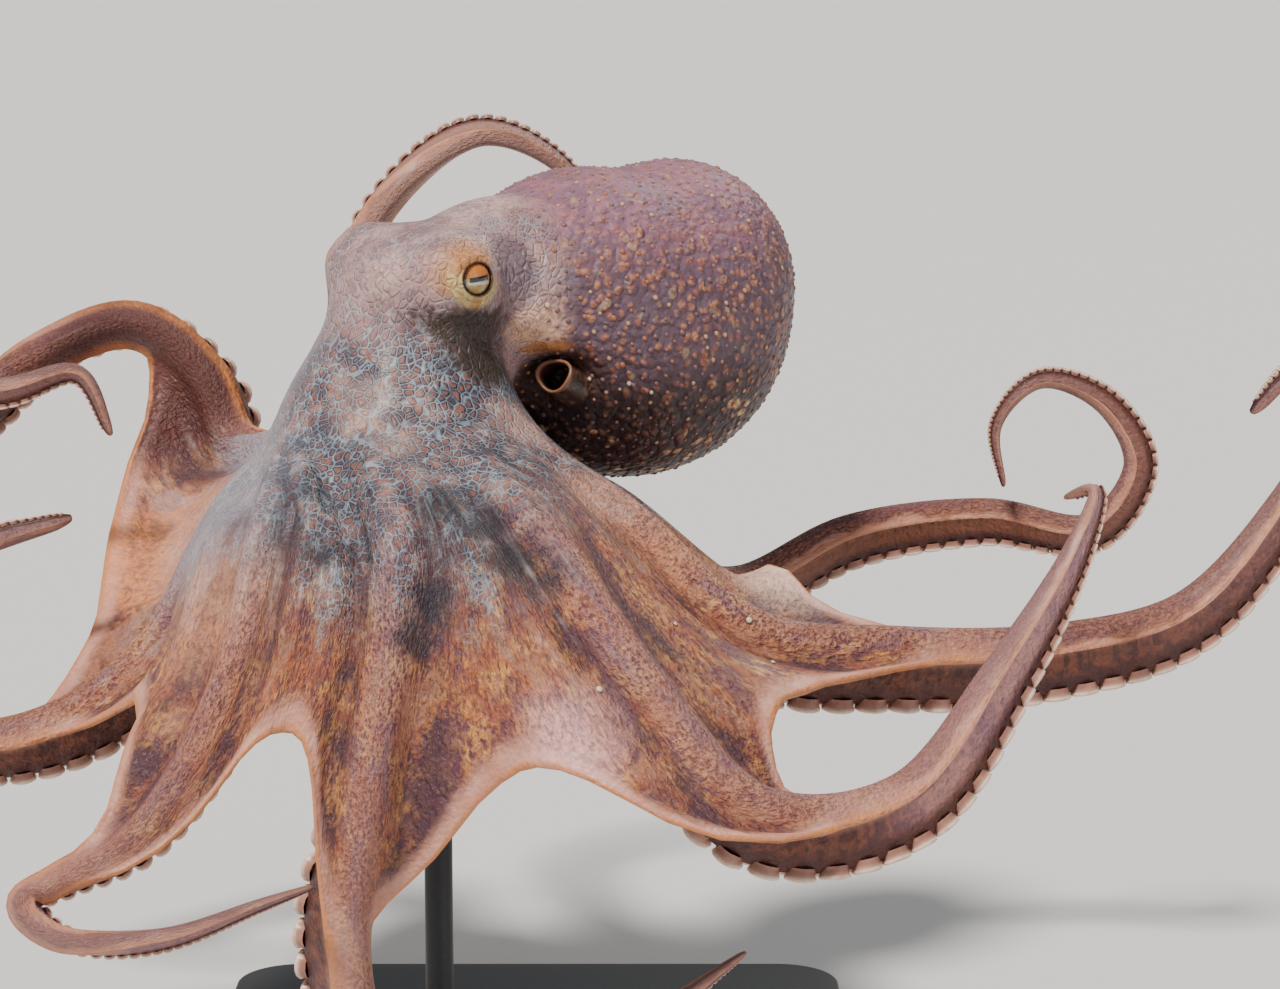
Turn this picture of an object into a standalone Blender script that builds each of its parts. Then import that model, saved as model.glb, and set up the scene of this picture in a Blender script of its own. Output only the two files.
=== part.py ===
"""A common octopus (Octopus vulgaris), life size, swimming with its arms spread, on a plain display stand.

Metres, +Z up. X and Y are measured from the middle of the stand's base, and Z from its underside.
The animal faces the azimuth FACING. Its eight arms leave the crown in a ring under the head, and
eight sheets of web join each arm to the next. The body's own places are given in centimetres from
the middle of the head.
"""

import math

import bmesh
import bpy
import numpy as np

# ---- Driving sizes ------------------------------------------------------------------------------
CM = 0.01
GAP = 0.0003  # between two pieces that touch
HEAD_AT = np.array((-0.050, -0.025, 0.373))  # the middle of the head, over the stand
FACING = math.radians(-137.0)  # azimuth that the animal's brow faces
MANTLE_AZIMUTH = math.radians(40.0)  # azimuth that the mantle trails towards
BLEND_CM = 0.45  # how softly the lobes of head and mantle run into each other
NECK_CM = 6.2  # from the middle of the head to the nape, where mantle and head part
CROWN_CM = np.array((-0.7, -0.8, -4.7))  # the middle of the ring that the arms grow from
CROWN_RADIUS_CM = 4.5
MOUTH_DEPTH_CM = 4.3  # how far the mouth's cone hangs below the crown

EYE_RADIUS_CM = 1.12
EYE_OUT_CM, EYE_FORWARD_CM, EYE_UP_CM = 3.85, 0.3, 0.85  # the eyeball's middle, from the head's

WEB_THICKNESS = 0.003
WEB_ROWS = 10  # rows of a web's sheet, and rings of an arm, from the crown to the web's end
WEB_COLUMNS = (0.0, 0.12, 0.32, 0.5, 0.68, 0.88, 1.0)

ROOT_LENGTH = 0.12  # over which an arm swells from its root to its full section
ROOT_SHARE, ROOT_SLENDERNESS, FULL_SLENDERNESS = 0.66, 0.86, 0.62

BASE_SIZE = (0.300, 0.240, 0.012)
BASE_CORNER = 0.030
ROD_RADIUS = 0.0065
ROD_AT_CM = (0.8, -0.5)  # the rod's axis, from the middle of the head

SKIN = (0.42, 0.17, 0.11)
WEB_SKIN = (0.55, 0.27, 0.15)
EYE_GOLD = (0.62, 0.36, 0.12)
STAND_GREY = (0.10, 0.10, 0.11)

# One arm: its route from the crown to its tip, in centimetres from the middle of the head, and the
# way its back (the side without suckers) faces at shares of its length. height is the section's
# full height in metres, taper how late it thins, tip its height at the end, and reach how far out
# in metres the web is grown to it.
ARMS = [
    dict(
        name="arm_left_1", height=0.041, taper=3.2, tip=0.003, reach=0.250,
        route=[(0.1, -11.6, -10.2), (-1.4, -14.8, -19.3), (-2.7, -14.7, -25.8), (-1.5, -13.6, -31.3),
               (2.8, -11.8, -33.5), (8.8, -9.9, -32.1), (14.8, -9.5, -28.0)],
        back=[(0.25, (-0.1, -0.97, 0.2)), (0.38, (0.2, -0.95, 0.0)), (0.52, (0.75, -0.65, 0.0)),
              (0.62, (0.6, -0.7, 0.4)), (0.75, (0.0, -0.75, 0.65)), (1.0, (-0.1, -0.8, 0.6))],
    ),
    dict(
        name="arm_left_2", height=0.043, taper=3.2, tip=0.004, reach=0.285,
        route=[(5.0, -10.2, -8.7), (9.9, -15.4, -15.1), (15.1, -17.6, -20.2), (21.2, -15.7, -20.0),
               (25.8, -12.3, -14.9), (29.0, -9.5, -9.9), (29.7, -8.5, -7.7), (28.4, -7.7, -8.2)],
        back=[(0.2, (0.3, -0.8, 0.5)), (0.36, (0.2, -0.5, 0.85)), (0.5, (-0.15, -0.25, 0.95)),
              (0.635, (-0.6, -0.1, 0.8)), (0.79, (-0.8, -0.1, 0.6)), (1.0, (-0.6, -0.2, 0.1))],
    ),
    dict(
        name="arm_left_3", height=0.043, taper=2.9, tip=0.006, reach=0.250,
        route=[(8.7, -5.7, -9.85), (14.6, -7.0, -15.0), (21.3, -5.8, -16.1), (28.9, -3.9, -16.2),
               (34.9, -2.6, -14.7), (39.2, -1.3, -10.1), (41.1, -1.0, -5.8), (39.5, -1.1, -3.6),
               (37.4, -1.8, -5.4)],
        back=[(0.2, (0.5, -0.3, 0.8)), (0.45, (0.05, -0.2, 0.98)), (0.69, (-0.4, -0.1, 0.9)),
              (0.81, (-0.85, -0.1, 0.5)), (0.9, (-1.0, 0.0, 0.0)), (0.95, (-0.3, -0.1, -0.95)),
              (1.0, (0.8, -0.1, -0.5))],
    ),
    dict(
        name="arm_left_4", height=0.034, taper=2.4, tip=0.003, reach=0.180,
        route=[(6.2, 3.8, -10.4), (9.7, 7.5, -14.2), (14.6, 11.8, -16.5), (20.5, 15.1, -14.4),
               (27.4, 15.7, -13.5), (32.7, 14.6, -13.8), (34.9, 14.4, -10.4), (33.1, 14.5, -7.2),
               (29.8, 14.4, -6.1), (27.6, 13.8, -8.3), (28.0, 13.2, -11.4)],
        back=[(0.2, (0.3, -0.1, 0.95)), (0.6, (0.0, -0.2, 0.98)), (0.67, (-0.5, -0.2, 0.8)),
              (0.74, (-1.0, -0.1, 0.0)), (0.81, (-0.6, -0.1, -0.8)), (0.88, (0.0, -0.1, -1.0)),
              (0.94, (0.95, -0.1, -0.3)), (1.0, (1.0, -0.1, 0.2))],
    ),
    dict(
        name="arm_right_4", height=0.032, taper=3.4, tip=0.005, reach=0.185,
        route=[(0.3, 8.0, -10.6), (-1.6, 14.5, -11.2), (-4.0, 19.4, -7.2), (-4.7, 21.8, -1.7),
               (-2.4, 22.8, 2.5), (1.9, 23.9, 5.3), (6.0, 24.5, 3.6), (8.3, 24.8, -0.3)],
        back=[(0.17, (0.0, 0.25, 0.97)), (0.38, (0.1, -0.5, 0.85)), (0.54, (0.15, -0.9, 0.35)),
              (0.65, (0.25, -0.9, 0.1)), (0.78, (0.05, -0.75, -0.6)), (1.0, (-0.6, -0.75, -0.3))],
    ),
    dict(
        name="arm_right_3", height=0.038, taper=2.6, tip=0.005, reach=0.200,
        route=[(-6.0, 7.6, -8.8), (-9.1, 11.3, -9.7), (-11.0, 13.4, -6.0), (-14.5, 14.4, -3.5),
               (-18.7, 13.4, -4.6), (-23.2, 10.5, -8.1), (-25.8, 7.2, -8.0), (-23.6, 4.3, -5.7),
               (-18.9, 3.2, -5.1), (-15.8, 3.1, -4.3), (-14.3, 3.0, -7.2)],
        back=[(0.12, (-0.3, 0.3, 0.85)), (0.21, (-0.35, -0.3, 0.8)), (0.33, (-0.35, -0.85, 0.35)),
              (0.4, (-0.15, -0.95, 0.15)), (0.5, (0.0, -0.95, 0.1)), (0.56, (-0.4, -0.75, 0.35)),
              (0.62, (-0.7, -0.3, 0.6)), (0.7, (-0.5, 0.0, 0.85)), (0.87, (0.0, -0.3, 0.95)),
              (1.0, (0.8, -0.3, 0.3))],
    ),
    dict(
        name="arm_right_2", height=0.041, taper=2.2, tip=0.007, reach=0.205,
        route=[(-7.8, 0.0, -10.3), (-10.8, -1.3, -16.1), (-15.2, -2.9, -19.5), (-20.3, -4.4, -20.1),
               (-23.8, -3.9, -17.5), (-24.1, -2.5, -14.2), (-21.1, -1.3, -11.9), (-15.6, -0.6, -10.3)],
        back=[(0.15, (-0.85, 0.2, 0.5)), (0.31, (-0.6, -0.2, 0.8)), (0.44, (-0.2, -0.3, 0.92)),
              (0.57, (0.3, -0.3, 0.9)), (0.68, (0.9, -0.2, 0.3)), (0.77, (0.85, -0.1, -0.5)),
              (1.0, (0.35, -0.3, -0.88))],
    ),
    dict(
        name="arm_right_1", height=0.037, taper=1.7, tip=0.003, reach=0.262,
        route=[(-5.4, -9.1, -9.3), (-7.0, -13.7, -15.6), (-10.7, -15.5, -21.2), (-14.1, -15.8, -23.0),
               (-15.5, -16.6, -23.7), (-13.9, -17.6, -24.9), (-9.7, -17.8, -24.9), (-5.6, -17.2, -23.6),
               (-3.3, -17.9, -22.6)],
        back=[(0.21, (-0.6, -0.6, 0.5)), (0.39, (-0.5, -0.7, 0.5)), (0.55, (-0.25, -0.8, 0.55)),
              (0.64, (-0.1, -0.9, 0.4)), (0.69, (-0.1, -1.0, 0.05)), (0.74, (0.0, -0.95, 0.25)),
              (0.83, (0.0, -0.5, 0.85)), (1.0, (0.0, -0.35, 0.93))],
    ),
]

# The web between each arm and the next one round the crown: how far its free margin is cut back
# between them, as a share of its reach, how squarely the margin turns to run along an arm, how
# much the sheet billows outward, and the rows that it has where it stops short of the arms' reach.
WEBS = [
    dict(name="web_left_1_2", dip=0.31, square=2.1, billow=0.04),
    dict(name="web_left_2_3", dip=0.26, square=2.6, billow=0.02),
    dict(name="web_left_3_4", dip=0.26, square=2.6, billow=0.03),
    dict(name="web_rear", dip=0.42, square=2.6, billow=-0.08),
    dict(name="web_right_3_4", dip=0.30, square=3.0, billow=0.02, rows=7),
    dict(name="web_right_2_3", dip=0.26, square=2.6, billow=0.04),
    dict(name="web_right_1_2", dip=0.26, square=2.6, billow=0.05),
    dict(name="web_front", dip=0.33, square=2.6, billow=0.03),
]

# An arm's section as (share of half its width, share of its height) round from the back. The webs
# are grown to the two shoulders, numbers 1 and 7, and the suckers stand on the lowest three.
SECTION = [(0, 0.5), (0.92, 0.24), (0.96, -0.05), (0.7, -0.42), (0, -0.5), (-0.7, -0.42), (-0.96, -0.05),
           (-0.92, 0.24)]
SHOULDER = 1


# ---- Small helpers ------------------------------------------------------------------------------
def unit(v):
    v = np.asarray(v, float)
    return v / np.linalg.norm(v, axis=-1, keepdims=True)


def heading(azimuth):
    return np.array((math.cos(azimuth), math.sin(azimuth), 0.0))


def place(point_cm):
    """A point given in centimetres from the middle of the head, in metres over the stand."""
    return HEAD_AT + np.asarray(point_cm, float) * CM


def smooth_step(t):
    t = np.clip(t, 0.0, 1.0)
    return t * t * (3 - 2 * t)


def material(name, colour, roughness=0.45, metallic=0.0):
    found = bpy.data.materials.get(name)
    if found:
        return found
    made = bpy.data.materials.new(name)
    made.use_nodes = True
    shader = made.node_tree.nodes["Principled BSDF"]
    shader.inputs["Base Color"].default_value = (*colour, 1.0)
    shader.inputs["Roughness"].default_value = roughness
    shader.inputs["Metallic"].default_value = metallic
    return made


def add_object(name, bm, look):
    bmesh.ops.recalc_face_normals(bm, faces=bm.faces[:])
    mesh = bpy.data.meshes.new(name)
    bm.to_mesh(mesh)
    bm.free()
    mesh.shade_smooth()
    obj = bpy.data.objects.new(name, mesh)
    obj.data.materials.append(look)
    bpy.context.collection.objects.link(obj)
    return obj


def loft(bm, rings):
    """Quads between neighbouring rings of points, and a flat cap on the first and the last."""
    loops = [[bm.verts.new(p) for p in ring] for ring in rings]
    for lower, upper in zip(loops, loops[1:]):
        for i in range(len(lower)):
            j = (i + 1) % len(lower)
            bm.faces.new((lower[i], lower[j], upper[j], upper[i]))
    bm.faces.new(loops[0])
    bm.faces.new(loops[-1])
    return loops


# ---- Arms ---------------------------------------------------------------------------------------
def smooth_route(points, steps=40):
    """A centripetal Catmull-Rom curve through the points, as closely spaced points and lengths."""
    pts = np.array(points)
    pts = np.vstack([pts, 2 * pts[-1] - pts[-2]])
    knots = np.concatenate([[0], np.cumsum(np.sqrt(np.linalg.norm(np.diff(pts, axis=0), axis=1)))])
    line = []
    for i in range(1, len(pts) - 2):
        p, k = pts[i - 1:i + 3], knots[i - 1:i + 3]
        t = np.linspace(k[1], k[2], steps, endpoint=i == len(pts) - 3)[:, None]
        a = [(k[j + 1] - t) / (k[j + 1] - k[j]) * p[j] + (t - k[j]) / (k[j + 1] - k[j]) * p[j + 1]
             for j in range(3)]
        b = [(k[j + 2] - t) / (k[j + 2] - k[j]) * a[j] + (t - k[j]) / (k[j + 2] - k[j]) * a[j + 1]
             for j in range(2)]
        line.append((k[2] - t) / (k[2] - k[1]) * b[0] + (t - k[1]) / (k[2] - k[1]) * b[1])
    line = np.vstack(line)
    lengths = np.concatenate([[0], np.cumsum(np.linalg.norm(np.diff(line, axis=0), axis=1))])
    return line, lengths


class Arm:
    def __init__(self, number, spec):
        turn = math.radians(22.5 + 45.0 * number)
        outward = heading(FACING + turn)
        self.name, self.reach = spec["name"], spec["reach"]
        self.height, self.taper, self.tip = spec["height"], spec["taper"], spec["tip"]
        root = CROWN_CM + CROWN_RADIUS_CM * outward
        above = root + np.array((0.0, 0.0, 4.0))
        points = [place(p) for p in [above, root, *spec["route"]]]
        self.line, self.lengths = smooth_route(points)
        self.length = self.lengths[-1]
        backs = [(0.0, outward), *spec["back"]]
        self.back_at = np.array([share for share, _ in backs]) * self.length
        self.backs = unit([way for _, way in backs])

    def centre(self, s):
        return np.array([np.interp(s, self.lengths, self.line[:, k]) for k in range(3)]).T

    def axes(self, s):
        """The way along the arm, the way its back faces, and the way to the next arm round."""
        step = 0.004
        ahead = self.centre(np.minimum(s + step, self.length))
        along = unit(ahead - self.centre(np.maximum(s - step, 0.0)))
        settle = smooth_step(np.asarray(s, float) / 0.05)[..., None]
        along = unit(settle * along + (1 - settle) * np.array((0.0, 0.0, -1.0)))
        back = np.array([np.interp(s, self.back_at, self.backs[:, k]) for k in range(3)]).T
        back = unit(back - (back * along).sum(-1, keepdims=True) * along)
        return along, back, np.cross(back, along)

    def section_height(self, s):
        share = np.asarray(s, float) / self.length
        full = self.tip + (self.height - self.tip) * (1 - share**self.taper)
        return full * (ROOT_SHARE + (1 - ROOT_SHARE) * smooth_step(s / ROOT_LENGTH))

    def section_width(self, s):
        swell = smooth_step(np.asarray(s, float) / ROOT_LENGTH)
        return self.section_height(s) * (ROOT_SLENDERNESS + (FULL_SLENDERNESS - ROOT_SLENDERNESS) * swell)

    def side(self, s, across, up):
        """Points on the arm's section, across in half widths and up in heights."""
        _, back, next_way = self.axes(s)
        wide = (self.section_width(s) / 2 * across)[..., None]
        high = (self.section_height(s) * up)[..., None]
        return self.centre(s) + wide * next_way + high * back

    def ring(self, s, shift=0.0):
        along, _, _ = self.axes(s)
        s = np.asarray(s, float)
        return [self.side(s, across, up) + shift * along for across, up in SECTION]

    def stations(self):
        """Where the rings stand: evenly spaced along the web, then closer as the arm thins."""
        places = [self.reach * k / WEB_ROWS for k in range(WEB_ROWS + 1)]
        step_low, step_high, share = 0.0088, 0.0240, 0.655
        while True:
            step = min(max(share * float(self.section_height(places[-1])), step_low), step_high)
            if places[-1] + 1.5 * step > self.length:
                break
            places.append(places[-1] + step)
        return places + [self.length]


def build_arm(arm):
    stations = arm.stations()
    last = len(stations) - 1
    splits = [0, WEB_ROWS // 2, WEB_ROWS, (WEB_ROWS + last) // 2, last]
    lengths = ("root", "middle", "free", "tip")
    for part, first, end in zip(lengths, splits, splits[1:]):
        bm = bmesh.new()
        rings = []
        for k in range(first, end + 1):
            shift = GAP / 2 if k == first else (-GAP / 2 if k == end and k != last else 0.0)
            rings.append(arm.ring(stations[k], shift))
        loft(bm, rings)
        add_object(f"{arm.name}_{part}", bm, material("skin", SKIN))


def lifted(points, edge, way, back):
    """The points beside an arm, held out from its shoulder so that the sheet clears the arm's wall."""
    away = points - edge
    out = (away * way).sum(1, keepdims=True)
    up = (away * back).sum(1, keepdims=True)
    clear = 0.5 * WEB_THICKNESS
    aside = np.maximum(clear - out, 0) * way
    return points + aside + np.maximum(-0.1 * np.maximum(out, clear) - up, 0) * back


def build_web(spec, arm, following):
    """A thin sheet from one arm's shoulder to the next one's, with a free margin between them."""
    rows = np.arange(spec.get("rows", WEB_ROWS) + 1) / WEB_ROWS
    grid = np.zeros((len(rows), len(WEB_COLUMNS), 3))
    across_ways = []
    for j, v in enumerate(WEB_COLUMNS):
        u = rows * (1 - spec["dip"] * (1 - abs(2 * v - 1) ** spec["square"]))
        ends = []
        for owner, hand in ((arm, 1), (following, -1)):
            s = u * owner.reach
            _, back, next_way = owner.axes(s)
            across, up = SECTION[SHOULDER]
            edge = owner.side(s, hand * across, up) + hand * 1.6 * GAP * next_way
            ends.append((edge, hand * next_way, back))
        (a, a_way, a_back), (b, b_way, b_back) = ends
        span = np.linalg.norm(b - a, axis=1, keepdims=True)
        h01 = 3 * v**2 - 2 * v**3
        pull_a, pull_b = v - 2 * v**2 + v**3, v**2 - v**3
        out = unit(a_back + b_back)
        grid[:, j] = a + h01 * (b - a) + span * (pull_a * a_way + pull_b * b_way)
        grid[:, j] += spec["billow"] * 4 * v * (1 - v) * span * smooth_step(rows / 0.3)[:, None] * out
        across_ways.append(out)
        if j == 1 or j == len(WEB_COLUMNS) - 2:
            edge, way, back = (a, a_way, a_back) if j == 1 else (b, b_way, b_back)
            grid[:, j] = lifted(grid[:, j], edge, way, back)
    grid[0, :, 2] = place(CROWN_CM)[2] - GAP / 2
    along = np.gradient(grid, axis=0)
    across = np.gradient(grid, axis=1)
    normal = unit(np.cross(along, across))
    if (normal[3, 3] * across_ways[3][3]).sum() < 0:
        normal = -normal
    normal[:, 0], normal[:, -1] = a_back, b_back
    normal[0, :, 2] = 0.0
    normal = unit(normal)
    bm = bmesh.new()
    upper, lower = (
        [[bm.verts.new(grid[i, j] + sign * WEB_THICKNESS / 2 * normal[i, j]) for j in range(len(WEB_COLUMNS))]
         for i in range(len(rows))]
        for sign in (1, -1)
    )
    for sheet in (upper, lower):
        for i in range(len(rows) - 1):
            for j in range(len(WEB_COLUMNS) - 1):
                bm.faces.new((sheet[i][j], sheet[i][j + 1], sheet[i + 1][j + 1], sheet[i + 1][j]))
    rim = [(0, j) for j in range(len(WEB_COLUMNS))]
    rim += [(i, len(WEB_COLUMNS) - 1) for i in range(1, len(rows))]
    rim += [(len(rows) - 1, j) for j in range(len(WEB_COLUMNS) - 2, -1, -1)]
    rim += [(i, 0) for i in range(len(rows) - 2, 0, -1)]
    for (i, j), (k, m) in zip(rim, rim[1:] + rim[:1]):
        bm.faces.new((upper[i][j], upper[k][m], lower[k][m], lower[i][j]))
    add_object(spec["name"], bm, material("web", WEB_SKIN))


# ---- Head, eyes, funnel and mantle --------------------------------------------------------------
def lateral(side):
    """The way to the animal's left (side 1) or right (side -1)."""
    return side * heading(FACING + math.pi / 2)


def eye_centre_cm(side):
    return EYE_OUT_CM * lateral(side) + EYE_FORWARD_CM * heading(FACING) + np.array((0, 0, EYE_UP_CM))


# A lobe is an ellipsoid: its middle in centimetres from the head's, its half lengths along its
# azimuth, across it and up, and the azimuth.
def lobes():
    trail = MANTLE_AZIMUTH
    found = [
        ((0.1, 0.1, -0.6), (3.8, 3.9, 3.5), trail),  # skull
        ((-0.5, -0.7, -4.6), (4.7, 4.9, 3.4), trail),  # base of the arms
        ((3.4, 3.0, -0.1), (4.3, 4.2, 3.9), trail),  # nape
        ((9.4, 7.9, -2.7), (8.1, 7.0, 7.1), trail),  # belly of the mantle
        ((7.2, 6.0, -0.4), (5.6, 5.8, 5.3), trail),  # front of the mantle's back
        ((11.8, 9.9, -0.5), (5.2, 5.8, 5.5), trail),  # crest towards the mantle's end
    ]
    for side in (1, -1):
        bulge = 2.85 * lateral(side) + 0.4 * heading(FACING) + np.array((0, 0, 0.8))
        found.append((bulge, (1.9, 1.9, 1.95), trail))
    return found


def depth_in_flesh(points):
    """Below zero inside the head and mantle, in centimetres, with the lobes softly run together."""
    total = np.zeros(len(points))
    for centre, halves, azimuth in lobes():
        ways = np.array([heading(azimuth), heading(azimuth + math.pi / 2), (0, 0, 1)])
        local = (points - np.asarray(centre)) @ ways.T / np.asarray(halves)
        distance = (np.linalg.norm(local, axis=1) - 1) * min(halves)
        total += np.exp(-distance / BLEND_CM)
    return -BLEND_CM * np.log(total)


def flesh_solid(centre_cm, segments, rings, far_cm=16.0):
    """A ball of rays from the centre, each ending where it leaves the flesh."""
    bm = bmesh.new()
    bmesh.ops.create_uvsphere(bm, u_segments=segments, v_segments=rings, radius=1.0)
    ways = np.array([v.co[:] for v in bm.verts])
    steps = np.linspace(far_cm, 0.2, 160)
    reach = np.full(len(ways), steps[-1])
    open_ray = np.ones(len(ways), bool)
    before = depth_in_flesh(np.asarray(centre_cm) + steps[0] * ways)
    for outer, inner in zip(steps, steps[1:]):
        depth = depth_in_flesh(np.asarray(centre_cm) + inner * ways)
        hit = open_ray & (depth < 0)
        share = before[hit] / (before[hit] - depth[hit])
        reach[hit] = outer + share * (inner - outer)
        open_ray &= ~hit
        before = depth
    for vert, way, length in zip(bm.verts, ways, reach):
        vert.co = place(np.asarray(centre_cm) + length * way)
    return bm


def cut_off(bm, point_cm, way):
    """Cut the flesh with a plane, take away what lies on the way's side, and close the cut."""
    geometry = bm.verts[:] + bm.edges[:] + bm.faces[:]
    cut = bmesh.ops.bisect_plane(
        bm, geom=geometry, dist=1e-6, plane_co=place(point_cm), plane_no=way, clear_outer=True)
    edges = [e for e in cut["geom_cut"] if isinstance(e, bmesh.types.BMEdge)]
    bmesh.ops.contextual_create(bm, geom=edges)


def carve(obj, cutter_name, bm):
    """Take the closed shape out of the object, which keeps the cut as a live Boolean."""
    cutter = add_object(cutter_name, bm, material("skin", SKIN))
    cutter.hide_render = True
    cutter.display_type = "WIRE"
    boolean = obj.modifiers.new(cutter_name, "BOOLEAN")
    boolean.object = cutter
    boolean.operation = "DIFFERENCE"


def ball(centre_cm, radius_cm, segments=18, rings=10):
    bm = bmesh.new()
    bmesh.ops.create_uvsphere(bm, u_segments=segments, v_segments=rings, radius=radius_cm * CM)
    bmesh.ops.translate(bm, verts=bm.verts[:], vec=place(centre_cm))
    return bm


# The funnel leaves the mantle's opening under the left cheek and points forward past it. Its mouth stays
# in the hollow, so the hollow's room runs on a little in front of it.
FUNNEL_ROUTE_CM = [(7.6, 2.6, -5.0), (6.75, 1.0, -4.45), (6.2, -0.2, -3.85)]
FUNNEL_RADII_CM = [1.3, 1.1, 0.95]
FUNNEL_WALL_CM = 0.2
ROOM_END_CM, ROOM_CLEARANCE_CM = (5.75, -1.15, -3.4), 0.35


def tube_rings(route, radii, count=14):
    ways = [unit(np.subtract(b, a)) for a, b in zip(route, route[1:])]
    ways = [ways[0], *[unit(a + b) for a, b in zip(ways, ways[1:])], ways[-1]]
    rings = []
    for centre, radius, way in zip(route, radii, ways):
        side = unit(np.cross(way, (0, 0, 1)))
        top = np.cross(side, way)
        angles = [2 * math.pi * i / count for i in range(count)]
        rings.append([place(np.asarray(centre) + radius * (math.cos(t) * side + math.sin(t) * top))
                      for t in angles])
    return rings


def build_head_and_mantle():
    trail = heading(MANTLE_AZIMUTH)
    up = np.array((0.0, 0.0, 1.0))
    skin = material("skin", SKIN)
    half_gap = GAP / 2 / CM
    head = flesh_solid((0.3, 0.2, -1.2), 30, 19)
    cut_off(head, trail * (NECK_CM - half_gap), trail)
    cut_off(head, CROWN_CM + up * half_gap, -up)
    mantle = flesh_solid((9.6, 8.0, -1.8), 26, 16)
    cut_off(mantle, trail * (NECK_CM + half_gap), -trail)
    head = add_object("head", head, skin)
    mantle = add_object("mantle", mantle, skin)

    margin = GAP / CM
    for side, word in ((1, "left"), (-1, "right")):
        carve(head, f"cut_socket_{word}", ball(eye_centre_cm(side), EYE_RADIUS_CM + margin))
        add_object(f"eye_{word}", ball(eye_centre_cm(side), EYE_RADIUS_CM), material("eye", EYE_GOLD, 0.15))

    for obj, word in ((head, "head"), (mantle, "mantle")):
        bm = bmesh.new()
        room = [r + ROOM_CLEARANCE_CM for r in [*FUNNEL_RADII_CM, FUNNEL_RADII_CM[-1]]]
        loft(bm, tube_rings([*FUNNEL_ROUTE_CM, ROOM_END_CM], room, 12))
        carve(obj, f"cut_funnel_{word}", bm)


def build_funnel():
    bm = bmesh.new()
    outer = tube_rings(FUNNEL_ROUTE_CM, FUNNEL_RADII_CM)
    inner = tube_rings(FUNNEL_ROUTE_CM, [r - FUNNEL_WALL_CM for r in FUNNEL_RADII_CM])
    loops = [[bm.verts.new(p) for p in ring] for ring in [*outer[::1], *inner[::-1]]]
    for lower, upper in zip(loops, loops[1:] + loops[:1]):
        for i in range(len(lower)):
            j = (i + 1) % len(lower)
            bm.faces.new((lower[i], lower[j], upper[j], upper[i]))
    add_object("funnel", bm, material("skin", SKIN))


def build_mouth():
    """The cone of muscle inside the ring of arms, with the mouth at its end."""
    bottom = np.array((*ROD_AT_CM, CROWN_CM[2] - MOUTH_DEPTH_CM))
    top = CROWN_CM - np.array((0, 0, GAP / 2 / CM))
    profile = [(0.0, 3.0), (0.35, 2.8), (0.75, 2.2), (1.0, 1.5)]  # depth share, radius
    count = 16
    rings = []
    for share, radius in profile:
        middle = top + share * (bottom - top)
        angles = [2 * math.pi * i / count for i in range(count)]
        rings.append([place(middle + radius * heading(t)) for t in angles])
    bm = bmesh.new()
    loft(bm, rings)
    add_object("mouth", bm, material("skin", SKIN))


# ---- Display stand ------------------------------------------------------------------------------
def build_stand():
    look = material("stand", STAND_GREY, 0.4, 0.6)
    width, depth, thickness = BASE_SIZE
    corner_steps = 6
    outline = []
    for quarter, (sx, sy) in enumerate(((1, 1), (-1, 1), (-1, -1), (1, -1))):
        for k in range(corner_steps + 1):
            turn = math.pi / 2 * (quarter + k / corner_steps)
            outline.append((sx * (width / 2 - BASE_CORNER) + BASE_CORNER * math.cos(turn),
                            sy * (depth / 2 - BASE_CORNER) + BASE_CORNER * math.sin(turn)))
    bm = bmesh.new()
    loft(bm, [[(x, y, z) for x, y in outline] for z in (0.0, thickness)])
    add_object("stand_base", bm, look)

    x, y = HEAD_AT[:2] + np.array(ROD_AT_CM) * CM
    rod_top = place(CROWN_CM)[2] - MOUTH_DEPTH_CM * CM - GAP / 2 - GAP
    sides = 16
    bm = bmesh.new()
    rings = []
    for z in (thickness + GAP, rod_top):
        angles = [2 * math.pi * i / sides for i in range(sides)]
        rings.append([(x + ROD_RADIUS * math.cos(t), y + ROD_RADIUS * math.sin(t), z) for t in angles])
    loft(bm, rings)
    add_object("stand_rod", bm, look)


def main():
    for obj in list(bpy.data.objects):
        bpy.data.objects.remove(obj, do_unlink=True)
    build_head_and_mantle()
    build_funnel()
    build_mouth()
    arms = [Arm(number, spec) for number, spec in enumerate(ARMS)]
    for arm in arms:
        build_arm(arm)
    for spec, arm, following in zip(WEBS, arms, arms[1:] + arms[:1]):
        build_web(spec, arm, following)
    build_stand()


main()
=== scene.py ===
# %% [markdown]
# # A common octopus, swimming
# An octopus has no bones, so its whole shape is one bag of muscle under one thin skin. The head and the
# mantle behind it hang over a ring of eight arms, and a web of skin joins each arm to the next one for
# about half of its length. This model is the kind a museum casts in silicone from a swimming animal: one
# skin, glass eyes, and a steel rod that takes the place of the water.

# %% Tools, the frame and the main places
import math

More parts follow.
